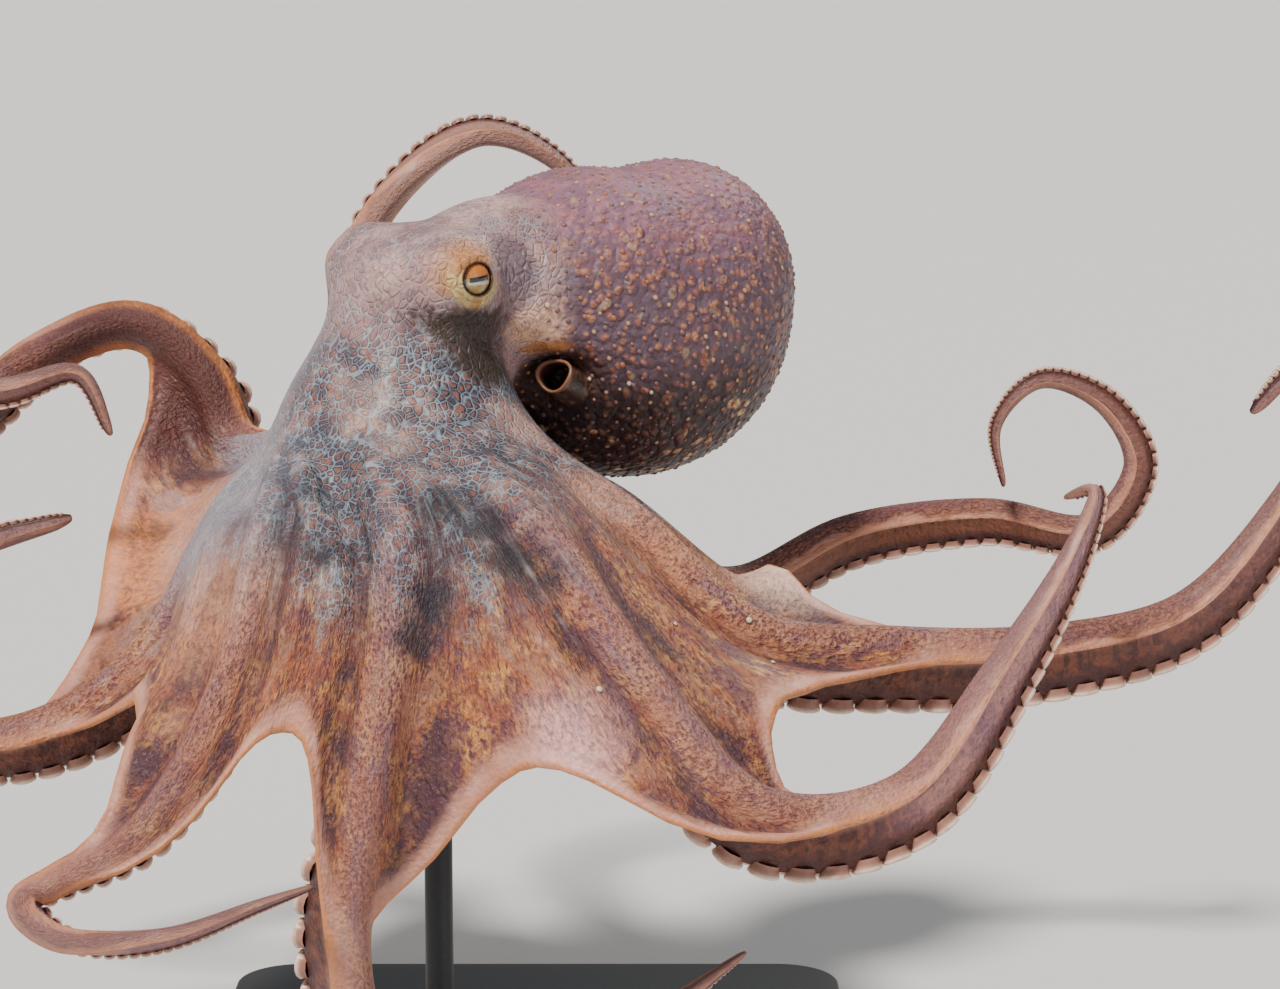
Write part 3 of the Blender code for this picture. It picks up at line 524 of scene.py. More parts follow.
# %% The sock of rings
base = (np.vstack(skin.points)[crown_top] - HEAD_AT) / CM
turn = np.arctan2(*(base - CROWN)[:, 1::-1].T) - TRAIL
travel = steps_along(STATIONS[:, :2])
t = np.interp(np.linspace(0, travel[-1], RINGS), travel, np.arange(len(STATIONS)))
station = catmull(STATIONS, t)
top = station[:, 0:1] * TRAIL_WAY + station[:, 1:2] * UP_WAY
bottom = station[:, 2:3] * TRAIL_WAY + station[:, 3:4] * UP_WAY
middle = (top + bottom) / 2
sock = (middle[:, None] + np.cos(turn)[None, :, None] * (bottom - middle)[:, None]
        + (np.sin(turn)[None, :] * station[:, 4:5])[..., None] * SIDE_WAY)
sock = onto_flesh(sock)
for _ in range(3):
    sock = onto_flesh(even_out(sock, 4), 2)
flare = 1 - ease(t / 1.7)[:, None, None]
sock = sock + (base - sock[:1]) * flare
print("sock:", sock.shape[:2], "rings and points")

# %% Lip, hollow and flap
# The mantle's edge: a lip over a hollow on each side, where water goes in and the funnel comes out.
normal = unit(slope(sock))
along_trail, aside, height = sock @ TRAIL_WAY, np.abs(sock @ SIDE_WAY), sock[..., 2]
at_side = ease((aside - 1.8) / 1.2)
hollow = HOLLOW * np.exp(-((along_trail - 5.2) / 0.95)**2 - ((height + 4.2) / 1.15)**2) * at_side
lip = LIP * np.exp(-((along_trail - 6.7) / 0.5)**2) * at_side * ease((-1.8 - height) / 1.4)
# Over the hollow hangs a soft flap, which slopes down and back from under the eye.
flap_along = 0.805 * (along_trail - 4.3) - 0.594 * (height + 2.1)
flap_across = 0.594 * (along_trail - 4.3) + 0.805 * (height + 2.1)
flap_width = np.where(flap_across > 0, 0.95, 0.42)
flap = FLAP * np.exp(-(flap_across / flap_width)**2 - (flap_along / 1.7)**4) * at_side
# A faint fold runs round the nape, behind the eyes.
fold = CREASE * np.exp(-((along_trail - 5.9 - 0.25 * (height - 3.5)) / 0.7)**2) * ease((height - 1.5) / 1.5)
sock = sock + (hollow + lip + flap + fold)[..., None] * normal

print("head and mantle:", sock.shape[0] * sock.shape[1], "points")
on_mantle = ease((along_trail - 3.6 - 0.12 * (height + 1)) / 2.2)
from_crown = -t[:, None] * 0.025 * np.ones_like(along_trail)
at_crown = {key: np.concatenate(skin.known[key])[crown_top][None] for key in ("ridge", "round_x", "round_y")}
head_ids = skin.add(place(sock[1:]), reach=from_crown[1:], edge=0.05, mantle=on_mantle[1:],
                    ridge=np.exp(-t[1:, None] / 1.0) * at_crown["ridge"],
                    round_x=at_crown["round_x"], round_y=at_crown["round_y"])
pole = skin.add(place(onto_flesh(station[-1:, 0:1] * TRAIL_WAY + np.array((0, 0, -2.7)))),
                reach=-0.3, edge=0.05, mantle=1.0)[0]
loop = np.vstack([crown_top, head_ids])
loop = np.hstack([loop, loop[:, :1]])
skin.quads(loop[::-1])

# %% The join of head and cone
# The head runs into the cone without a crease.
JOIN_ROWS = 30
points = np.vstack(skin.points)
join = np.vstack([cone_top[:JOIN_ROWS][::-1], head_ids[:JOIN_ROWS]])
before = points[join]
after = before.copy()
for _ in range(60):
    after[1:-1] = 0.5 * after[1:-1] + 0.25 * (after[2:] + after[:-2])
row = np.arange(len(join))
shift = ease(np.minimum(row, row[::-1]) / (0.7 * JOIN_ROWS))[:, None, None] * (after - before)
points[join] += shift
low = cone_low[:JOIN_ROWS][::-1]
points[low[low >= 0]] += shift[:JOIN_ROWS][low >= 0]
skin.points = [points]
skin.faces += [[b, a, pole] for a, b in zip(loop[-1], loop[-1][1:])]

# %% [markdown]
# ## The mouth
# Under the head the arms' inner sides meet in a cone of muscle with the mouth at its end. Here the rod of
# the stand takes hold, so the cone is kept plain, with the folds of the lips as rings.

# %% A cone with lips round the mouth
MOUTH_END = np.array((0.8, -0.5, CROWN[2] - 4.3))
MOUTH_RINGS = [(0.04, 3.05), (0.16, 2.8), (0.35, 2.7), (0.55, 2.45), (0.75, 2.1), (0.88, 1.75), (0.95, 1.68),
               (0.985, 1.45), (0.975, 1.15), (0.99, 0.9), (0.985, 0.7)]  # share of the way down, radius in cm
rim = (np.vstack(skin.points)[crown_low] - HEAD_AT) / CM
angles = np.arctan2(*(rim - CROWN)[:, 1::-1].T)
ways = np.stack([np.cos(angles), np.sin(angles), 0 * angles], -1)
mouth = [CROWN + share * (MOUTH_END - CROWN) + radius * ways for share, radius in MOUTH_RINGS]
mouth_ids = skin.add(place(np.array(mouth)), reach=0.0, under=1.0, edge=0.05)
end = skin.add(place(MOUTH_END + (0, 0, 0.05))[None], under=1.0, edge=0.05)[0]
loop = np.vstack([crown_low, mouth_ids])
loop = np.hstack([loop, loop[:, :1]])
skin.quads(loop)
skin.faces += [[a, b, end] for a, b in zip(loop[-1], loop[-1][1:])]
skin_mesh = skin.mesh("skin")
print("skin:", len(skin_mesh.vertices), "points,", sum(len(f) - 2 for f in skin.faces), "triangles")

# %% [markdown]
# ## Eyes and lids
# The eye sits in its bulge with a ring of lid round it, which an octopus draws over the ball like a
# camera's shutter. The skin is opened over each eye and its edge is joined, ring by ring, to the lid, so
# the lid is the same skin. The ball itself is a separate piece, as a glass eye is.

# %% Sizes of the eye and its lid
EYE_AT = (3.85, 0.3, 0.85)  # the ball's middle: sideways, forward and up from the head's, in cm
EYE_RADIUS, OPENING = 0.0109, (0.0088, 0.0078)  # the opening's half width and half height
LID = [  # rings of the lid: size in openings, mm proud of the flesh
    (2.30, 0.0), (2.14, 0.2), (1.98, 0.65), (1.82, 1.2), (1.68, 1.65), (1.56, 1.9), (1.45, 1.85),
    (1.36, 1.5), (1.29, 1.15), (1.23, 1.25), (1.17, 1.45), (1.11, 1.4), (1.05, 1.05), (1.0, 0.5)]
LID_STEPS = 84
WEB_PEAKS = [((16.4, -1.6, -13.7), 1.7, 1.4)]

# %% Where a place lies over the eye
def eye_frame(side):
    """The eye's middle, and the ways forward, up and outward from it."""
    sideways, forward = side * heading(FACING + math.pi / 2), heading(FACING)
    middle = place(EYE_AT[0] * sideways + EYE_AT[1] * forward + EYE_AT[2] * UP_WAY)
    out = unit(sideways + 0.06 * forward + 0.04 * UP_WAY)
    ahead = unit(forward - (forward @ out) * out)
    return middle, ahead, side * np.cross(ahead, out), out


def on_eye(points, side):
    """Where points lie over an eye: forward and up in half openings, and outward in metres."""
    middle, ahead, up, out = eye_frame(side)
    away = points - middle
    return away @ ahead / OPENING[0], away @ up / OPENING[1], away @ out


def read(items, key, width=1):
    """One value of each item of a mesh, or a row of them."""
    values = np.empty(len(items) * width, np.float32)
    items.foreach_get(key, values)
    return values.reshape(-1, width) if width > 1 else values


# %% Two lids in the skin
bm = bmesh.new()
bm.from_mesh(skin_mesh)
known = {key: bm.verts.layers.float[key] for key in Shape.KNOWN}
for side in (1, -1):
    middle, ahead, up, out = eye_frame(side)
    x, y, z = on_eye(np.array([v.co[:] for v in bm.verts]), side)
    inside = (np.hypot(x, y) < 2.42) & (z > 0) & (z < 0.02)
    bm.verts.ensure_lookup_table()
    hole = [bm.verts[i] for i in np.flatnonzero(inside)]
    bmesh.ops.delete(bm, geom=hole, context="VERTS")
    border = [e for e in bm.edges
              if e.is_boundary and np.linalg.norm(np.array(e.verts[0].co) - middle) < 0.04]
    angles, cosines, sines = circle(LID_STEPS)
    oval = OPENING[0] * cosines * ahead + OPENING[1] * sines * up
    loops = []
    for factor, proud in LID:
        ring = middle + factor * oval + 0.011 * out
        ring = onto_flesh((ring - HEAD_AT) / CM) * CM + HEAD_AT
        away = ring - middle
        ball = middle + unit(away) * (EYE_RADIUS + 0.0002)
        sunk = ease((1.35 - factor) / 0.35)
        ring = (1 - sunk) * ring + sunk * np.where(((ring - ball) @ out)[:, None] > 0, ring, ball)
        brow = ease((factor - 1.2) / 0.3)  # the outer swelling is a brow, and weaker below
        ring = ring + proud * MM * (1 - brow * (0.35 - 0.35 * np.sin(angles + 0.5))) * out
        loops.append([bm.verts.new(p) for p in ring])
    for lift, factor in ((0.0002, 0.965), (-0.0006, 0.95), (-0.0012, 0.96)):  # the lid's edge turns in
        ring = factor * oval
        high = np.sqrt(EYE_RADIUS**2 - (ring**2).sum(1, keepdims=True))
        loops.append([bm.verts.new(p) for p in middle + ring + (high + lift) * out])
    join_rings(bm, loops)
    edges = [bm.edges.get(pair) for pair in zip(loops[0], loops[0][1:] + loops[0][:1])]
    bmesh.ops.bridge_loops(bm, edges=border + edges)
    for loop in loops:
        for v in loop:
            v[known["edge"]], v[known["reach"]] = 0.05, -0.095
bmesh.ops.recalc_face_normals(bm, faces=bm.faces[:])
near, rest = ([v for v in bm.verts if (v[known["reach"]] < 0.03) == close] for close in (True, False))
for verts in (near, near, rest):
    bmesh.ops.smooth_vert(bm, verts=verts, factor=0.4, use_axis_x=True, use_axis_y=True, use_axis_z=True)
bm.to_mesh(skin_mesh)
bm.free()
skin_mesh.shade_smooth()
skin_places = read(skin_mesh.vertices, "co", 3)
for at, radius, lift in WEB_PEAKS:  # places where the web stands up in a fold
    away = np.linalg.norm(skin_places - place(at), axis=1) / (radius * CM)
    skin_places[:, 2] += lift * CM * np.exp(-away**2)
skin_mesh.vertices.foreach_set("co", skin_places.ravel())
left_side = (skin_places - HEAD_AT) @ heading(FACING + math.pi / 2) > 0
for key, k in (("eye_x", 0), ("eye_y", 1)):  # where each point lies from the eye of its own side
    values = np.where(left_side, on_eye(skin_places, 1)[k], on_eye(skin_places, -1)[k]).astype(np.float32)
    skin_mesh.attributes[key].data.foreach_set("value", values)
print("skin with lids:", len(skin_places), "points")

# %% [markdown]
# ## Suckers
# Two rows of suckers run down the inner side of each arm. A sucker is a short stalk with a cup on it: a
# wide soft rim, a funnel inside it and a small deep hole in the middle. They are largest where the web
# ends and get small towards the tip. Each is turned from one profile.

# %% Cups in two rows
SUCKER = [(0.94, -0.5), (0.90, 0.02), (1.0, 0.16), (1.0, 0.28), (0.88, 0.35), (0.70, 0.29), (0.42, 0.16),
          (0.34, -0.1)]
SUCKER_SIDES = 12


def sucker_places(arm):
    """Lengths along the arm at which its suckers sit, rim to rim along its inner side, and their radii."""
    s = np.linspace(0.018, arm.length * 0.99, 900)
    height, width = arm.section(s)
    run = steps_along(arm.centre(s) - 0.4 * height[:, None] * arm.axes(s)[1])
    radii = width * 0.30 * (0.6 + 0.4 * ease((s - 0.02) / 0.16))
    at = 0.0
    while at < run[-1]:
        radius = float(np.interp(at, run, radii))
        yield float(np.interp(at, run, s)), radius
        at += max(radius, 0.0009)


def build_suckers(name, chosen):
    bm = bmesh.new()
    cup = bm.verts.layers.float.new("cup")
    _, cosines, sines = circle(SUCKER_SIDES)
    for arm in chosen:
        side = 1
        for s, radius in sucker_places(arm):
            at = np.array([s])
            along, back, way = (a[0] for a in arm.axes(at))
            height, width = (a[0] for a in arm.section(at))
            across = side * 0.235 * width
            foot = arm.centre(at)[0] + across * way - (0.405 - 0.05 * abs(across / width)) * height * back
            out = unit(-back + side * 0.24 * way)
            ahead = unit(along - (along @ out) * out)
            aside = np.cross(out, ahead)
            rings = [[bm.verts.new(p) for p in
                      foot + radius * wide * (cosines * ahead + sines * aside) + radius * up * out]
                     for wide, up in SUCKER]
            join_rings(bm, rings)
            bm.faces.new(rings[-1])
            for k, ring in enumerate(rings):
                for v in ring:
                    v[cup] = k / (len(rings) - 1)
            side = -side
    return finished(bm, name)


suckers = [build_suckers("suckers_left", arms[:4]), build_suckers("suckers_right", arms[4:])]

# %% [markdown]
# ## Eyeballs
# The ball is turned so that its pupil looks out through the lid. Where each point lies over the eye is
# kept on the mesh, so the iris and the slit pupil can be drawn from it.

# %% Two balls with a gaze
def build_eye(name, side):
    bm = bmesh.new()
    bmesh.ops.create_uvsphere(bm, u_segments=64, v_segments=40, radius=EYE_RADIUS)
    middle, ahead, up, out = eye_frame(side)
    bmesh.ops.translate(bm, verts=bm.verts[:], vec=middle)
    gaze = bm.verts.layers.float_vector.new("gaze")
    for v in bm.verts:
        away = (np.array(v.co) - middle) / EYE_RADIUS
        v[gaze] = (away @ ahead, away @ up, away @ out)
    return finished(bm, name, turn_out=False)


eyes = [build_eye("eyeball_left", 1), build_eye("eyeball_right", -1)]

# %% [markdown]
# ## Funnel
# The funnel is the nozzle that the octopus swims with. It leaves the mantle's hollow under the left eye
# and points forward past the head, and its open end is a soft thin lip.

# %% A tube that widens to its mouth
FUNNEL = np.array([(8.0, 3.3, -5.15, 1.28), (7.4, 2.2, -4.85, 1.22), (6.85, 1.2, -4.5, 1.08),
                   (6.45, 0.3, -4.1, 0.88), (6.21, -0.16, -3.88, 0.93)])  # its route and radius, in cm
FUNNEL_STEPS, FUNNEL_SIDES, FUNNEL_WALL = 20, 36, 0.16


def build_funnel():
    course = catmull(FUNNEL, np.linspace(0, len(FUNNEL) - 1.001, FUNNEL_STEPS))
    route, radii = course[:, :3], course[:, 3]
    ways = unit(np.gradient(route, axis=0))
    turns, cosines, sines = circle(FUNNEL_SIDES)
    bm = bmesh.new()
    lip = bm.verts.layers.float.new("lip")
    last = FUNNEL_STEPS - 1
    outside, inside = [(k, 0.0) for k in range(last + 1)], [(k, 1.0) for k in range(last, 3, -1)]
    rings = []
    for k, within in [*outside, (last, 0.5), *inside]:
        aside = unit(np.cross(ways[k], UP_WAY))
        above = np.cross(aside, ways[k])
        near_lip = (k / last)**6
        radius = radii[k] * (1 + 0.05 * near_lip * np.sin(3 * turns + 0.6)) - within * FUNNEL_WALL
        ring = (route[k] + radius * (cosines * aside + 0.86 * sines * above)
                + (0.07 * near_lip * np.sin(2 * turns + 1.0) + (0.04 if within == 0.5 else 0)) * ways[k])
        rings.append([bm.verts.new(p) for p in place(ring)])
        for v in rings[-1]:
            v[lip] = 2 - k / last if within == 1 else k / last  # 1 at the lip, 2 inside
    join_rings(bm, rings)
    bm.faces.new(rings[-1])
    return finished(bm, "funnel_nozzle")


funnel = build_funnel()

# %% [markdown]
# ## Papillae
# Small soft warts stand out of the mantle's skin in loose rows, and a few pale ones out of the head and
# the web. The octopus raises and flattens them at will. Each is a low dome that is sunk into the skin.

# %% Domes in loose rows
PALE_WARTS = [  # place in cm from the head's middle, radius in mm
    ((5.84, -0.55, -0.65), 1.9), ((8.46, -17.06, -14.51), 2.0), ((15.46, -9.75, -12.48), 1.9),
    ((16.3, -10.4, -13.3), 1.5), ((7.74, 0.42, -4.32), 1.3), ((12.0, -12.8, -12.2), 1.3),
    ((9.5, 0.9, -4.4), 1.4), ((10.6, 1.2, -4.9), 1.2)]
WART = [(1.0, -0.35), (0.92, 0.15), (0.68, 0.52), (0.36, 0.76)]
WART_SIDES, WART_GAP = 9, 0.0052


def add_wart(bm, i, radius, share, tone):
    """A wart of one tone at a point of the skin, with its height as a share of its radius."""
    at, out, height = skin_places[i], unit(normals[i]), radius * share
    aside = unit(np.cross(out, (0.3, 0.2, 1.0)))
    _, cosines, sines = circle(WART_SIDES)
    tone_layer, tip_layer = (bm.verts.layers.float[name] for name in ("tone", "tip"))
    round_it = cosines * aside + sines * np.cross(out, aside)
    rings = [[bm.verts.new(p) for p in at + radius * across * round_it + height * up * out]
             for across, up in WART]
    top = bm.verts.new(at + 0.82 * height * out)
    for k, ring in enumerate([*rings, [top]]):
        for v in ring:
            v[tone_layer], v[tip_layer] = tone, k / len(rings)
    join_rings(bm, rings)
    for pair in zip(rings[-1], rings[-1][1:] + rings[-1][:1]):
        bm.faces.new((*pair, top))


def spaced(places, order, gap):
    """The points, taken in order, that keep the gap from all the points taken before them."""
    taken, cells = [], {}
    for i in order:
        key = tuple(np.floor(places[i] / gap).astype(int))
        beside = [j for dx in (-1, 0, 1) for dy in (-1, 0, 1) for dz in (-1, 0, 1)
                  for j in cells.get((key[0] + dx, key[1] + dy, key[2] + dz), ())]
        if all(np.linalg.norm(places[i] - places[j]) > gap for j in beside):
            cells.setdefault(key, []).append(i)
            taken.append(i)
    return taken


def build_warts():
    random = np.random.default_rng(7)
    order = random.permutation(np.flatnonzero(read(skin_mesh.attributes["mantle"].data, "value") > 0.25))
    bm = bmesh.new()
    for name in ("tone", "tip"):
        bm.verts.layers.float.new(name)
    for i in spaced(skin_places, order, WART_GAP):
        add_wart(bm, i, random.uniform(0.8, 1.5) * MM, random.uniform(0.45, 0.75), random.uniform(0.0, 0.8))
    for at, radius in PALE_WARTS:
        add_wart(bm, int(np.linalg.norm(skin_places - place(at), axis=1).argmin()), radius * MM, 0.8, 1.0)
    return finished(bm, "papillae")


normals = read(skin_mesh.vertices, "normal", 3)
papillae = build_warts()

# %% [markdown]
# ## Stand
# The display stand is a steel plate with rounded corners and one rod up to the mouth. It is powder coated
# in a satin dark grey, so that it steps back behind the animal.

# %% Plate and rod
CORNER, ARRIS = 0.030, 0.0012  # the plate's rounded corners, and the rounding of its upper and lower edges
COLLAR = [(0.0125, 0.006), (0.0135, 0.005), (0.0135, 0.0)]  # the ring round the rod's foot: radius and height


def build_plate(low, high):
    bm = bmesh.new()
    bmesh.ops.create_cube(bm, size=1.0)
    bmesh.ops.scale(bm, vec=high - low, verts=bm.verts[:])
    bmesh.ops.translate(bm, vec=(high + low) / 2, verts=bm.verts[:])
    for width, steps, sharp in ((CORNER, 14, lambda e: abs(e.verts[0].co.z - e.verts[1].co.z) > 0.005),
                                (ARRIS, 3, lambda e: e.calc_face_angle(0) > 1.2)):
        bmesh.ops.bevel(bm, geom=[e for e in bm.edges if sharp(e)], offset=width, offset_type="OFFSET",
                        segments=steps, profile=0.5, affect="EDGES", material=-1)
    return bm


def build_rod(low, high):
    middle, radius = (low + high) / 2, (high.x - low.x) / 2
    profile = [(radius, high.z), (radius, low.z + 0.008), (radius + 0.0004, low.z + 0.0062),
               *[(r, low.z + up) for r, up in COLLAR]]
    bm = bmesh.new()
    ends = [bm.verts.new((middle.x + r, middle.y, z)) for r, z in [(0, high.z), *profile, (0, low.z)]]
    edges = [bm.edges.new(pair) for pair in zip(ends, ends[1:])]
    bmesh.ops.spin(bm, geom=ends + edges, cent=(middle.x, middle.y, 0), axis=(0, 0, 1), angle=2 * math.pi,
                   steps=48, use_merge=True, use_duplicate=False)
    bmesh.ops.remove_doubles(bm, verts=bm.verts[:], dist=1e-5)
    return bm


stand = [finished(build_plate(*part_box("stand_base")), "stand_plate", turn_out=False),
         finished(build_rod(*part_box("stand_rod")), "stand_post")]
skin_obj = add_object(skin_mesh)

# %% [markdown]
# ## How the looks are written
# A material here is a few lines of arithmetic. `Value` wraps one socket, and adding, stepping or mixing
# values adds the nodes. `Look` makes a material and its other nodes: noise, cells, attributes and spots.

# %% Values that add nodes
class Value:
    """One socket in a material. Arithmetic on it adds Math nodes."""
    def __init__(self, look, socket):
        self.look, self.socket = look, socket

    def __add__(self, other):
        return self.look.math("ADD", self, other)

    def __sub__(self, other):
        return self.look.math("SUBTRACT", self, other)

    def __rsub__(self, other):
        return self.look.math("SUBTRACT", other, self)

    def __mul__(self, other):
        return self.look.math("MULTIPLY", self, other)

    def __truediv__(self, other):
        return self.look.math("DIVIDE", self, other)

    def __neg__(self):
        return self * -1.0

    def __abs__(self):
        return self.look.math("ABSOLUTE", self)

    __radd__, __rmul__ = __add__, __mul__

    def swing(self, amount):
        """A noise turned into a push of up to half the amount either way."""
        return (self - 0.5) * amount

    def step(self, low, high):
        """0 below low, 1 above high, and smooth between."""
        return self.look.node("ShaderNodeMapRange", {"interpolation_type": "SMOOTHSTEP"},
                              {"Value": self, "From Min": low, "From Max": high})

    def mix(self, a, b):
        """The colour a where this is 0, and b where it is 1."""
        return self.look.node("ShaderNodeMix", {"data_type": "RGBA"}, {0: self, 6: a, 7: b}, output=2)


# %% A look and its nodes
class Look:
    def __init__(self, name, **constants):
        self.material = bpy.data.materials.new(name)
        self.material.use_nodes = True
        self.tree = self.material.node_tree
        self.shader = self.tree.nodes["Principled BSDF"]
        for key, value in constants.items():
            self.shader.inputs[key.replace("_", " ")].default_value = value
        self.at = self.node("ShaderNodeTexCoord", output="Object")

    def node(self, kind, settings=None, inputs=None, output=0):
        node = self.tree.nodes.new(kind)
        for key, value in (settings or {}).items():
            setattr(node, key, value)
        for key, value in (inputs or {}).items():
            self.feed(node.inputs[key], value)
        return Value(self, node.outputs[output])

    def feed(self, socket, value):
        if isinstance(value, Value):
            self.tree.links.new(value.socket, socket)
        else:
            colour = isinstance(value, tuple) and socket.type == "RGBA"
            socket.default_value = (*value, 1.0) if colour else value

    def set(self, key, value):
        self.feed(self.shader.inputs[key], value)

    def math(self, operation, *values):
        return self.node("ShaderNodeMath", {"operation": operation}, dict(enumerate(values)))

    def vectors(self, operation, *values, output=0):
        return self.node("ShaderNodeVectorMath", {"operation": operation}, dict(enumerate(values)), output)

    def known(self, name, output="Fac"):
        return self.node("ShaderNodeAttribute", {"attribute_name": name}, output=output)

    def vector(self, x, y, z):
        return self.node("ShaderNodeCombineXYZ", None, {0: x, 1: y, 2: z})

    def part(self, vector, k):
        return self.node("ShaderNodeSeparateXYZ", None, {0: vector}, output=k)

    def noise(self, scale, at=None, detail=2.0, rough=0.5, bend=0.0):
        return self.node("ShaderNodeTexNoise", None,
                         {"Vector": at or self.at, "Scale": scale, "Detail": detail, "Roughness": rough,
                          "Distortion": bend})

    def cells(self, scale, at=None, feature="F1"):
        return self.node("ShaderNodeTexVoronoi", {"feature": feature},
                         {"Vector": at or self.at, "Scale": scale, "Randomness": 1.0})

    def bent(self, scale, amount):
        """Object coordinates pushed about by noise, so that what is drawn on them isn't regular."""
        push = self.node("ShaderNodeTexNoise", None, {"Vector": self.at, "Scale": scale, "Detail": 1.0},
                         output="Color")
        push = self.vectors("MULTIPLY_ADD", push, (amount,) * 3, (-amount / 2,) * 3)
        return self.vectors("ADD", self.at, push)

    def spot(self, middle_cm, radius_cm, soft, at=None):
        """1 within the radius of a place, and 0 beyond it."""
        away = self.vectors("DISTANCE", at or self.at, tuple(place(middle_cm)), output=1)
        return 1 - away.step(radius_cm * CM - soft / 2, radius_cm * CM + soft / 2)

    def bump(self, height, distance, strength):
        self.set("Normal", self.node("ShaderNodeBump", None,
                                     {"Height": height, "Distance": distance, "Strength": strength}))

    def shaded_underside(self, blotch):
        """The height over the head's middle, and a share that is 1 on the lower half of the mantle, where
        shade is painted.
        """
        height = self.part(self.at, 2) - float(HEAD_AT[2])
        return height, (height + blotch.swing(0.04)).step(-0.020, -0.065)


def painted(colour, *coats):
    """A colour under coats of paint: each coat is its share of cover and its colour."""
    for share, coat in coats:
        colour = share.mix(colour, coat)
    return colour


# %% [markdown]
# ## Skin looks
# An octopus paints itself with sacs of colour. Over the head and the cone of the web a net of pale blue
# lines closes red-brown cells; the webs are golden, rippled and streaked with purple; their margins are a
# smooth pink with an orange rim; the sides and undersides of the arms are dark red, deepened with painted
# shade. Some light and shade is painted on as well: highlights along the arms' ridges, on a fold and a margin
# of the web and on the side that faces the main light, and shade under an arch, in hollows and grooves and
# low on the mantle. The pattern reads where a point is on the animal: its distance from the crown, from a
# margin and from the eye, and which way it faces. All relief finer than a few millimetres is in the bump.

# %% Places of the painted patches
DARK_PATCHES = [  # middle in cm from the head's, radius in cm: slate patches on the front of the cone
    ((1.9, -11.2, -7.5), 1.2), ((3.4, -12.3, -8.4), 1.0), ((4.9, -13.2, -9.8), 1.3),
    ((6.4, -13.9, -10.6), 0.9), ((1.3, -13.7, -11.5), 1.0), ((0.6, -14.6, -12.9), 0.9),
    ((-3.4, -12.0, -9.9), 0.8)]
LIGHT_PATCHES = [((-2.0, -5.9, -4.6), 1.4), ((4.8, -4.2, -5.5), 1.6), ((-0.5, -7.5, -6.0), 1.2)]
# The first two pale stretches are painted highlights, on the fold that stands up in the web and on the front
# margin; the rest are pale golden and peach skin.
PALE_AND_LIT_WEB = [  # pale stretches of web and cone: middle, radius, share and colour
    ((16.4, -2.2, -12.7), 2.0, 0.9, (0.97, 0.66, 0.52)), ((7.2, -18.1, -16.7), 1.9, 0.92, (1.0, 0.54, 0.52)),
    ((-12.0, 4.4, -11.6), 4.4, 0.62, (1.0, 0.38, 0.15)),
    ((-8.0, -10.8, -12.6), 3.2, 0.45, (0.95, 0.42, 0.22)),
    ((5.4, -3.6, -5.9), 1.1, 0.45, (0.90, 0.46, 0.33)), ((8.0, -6.6, -8.3), 1.6, 0.60, (0.90, 0.42, 0.28)),
    ((11.0, -7.6, -10.5), 1.6, 0.40, (0.90, 0.40, 0.20))]
# Painted shade under the arch of the right third arm: its middle and radius in cm.
SHADED_ARCH = ((-13.5, 13.0, -5.2), 5.2)  # the arch of the right third arm is dark
FLESH = {"IOR": 1.4, "Coat_Roughness": 0.2, "Subsurface_Scale": 0.003}  # what the small pieces share
print("painted patches:", len(DARK_PATCHES) + len(LIGHT_PATCHES) + len(PALE_AND_LIT_WEB) + 1)

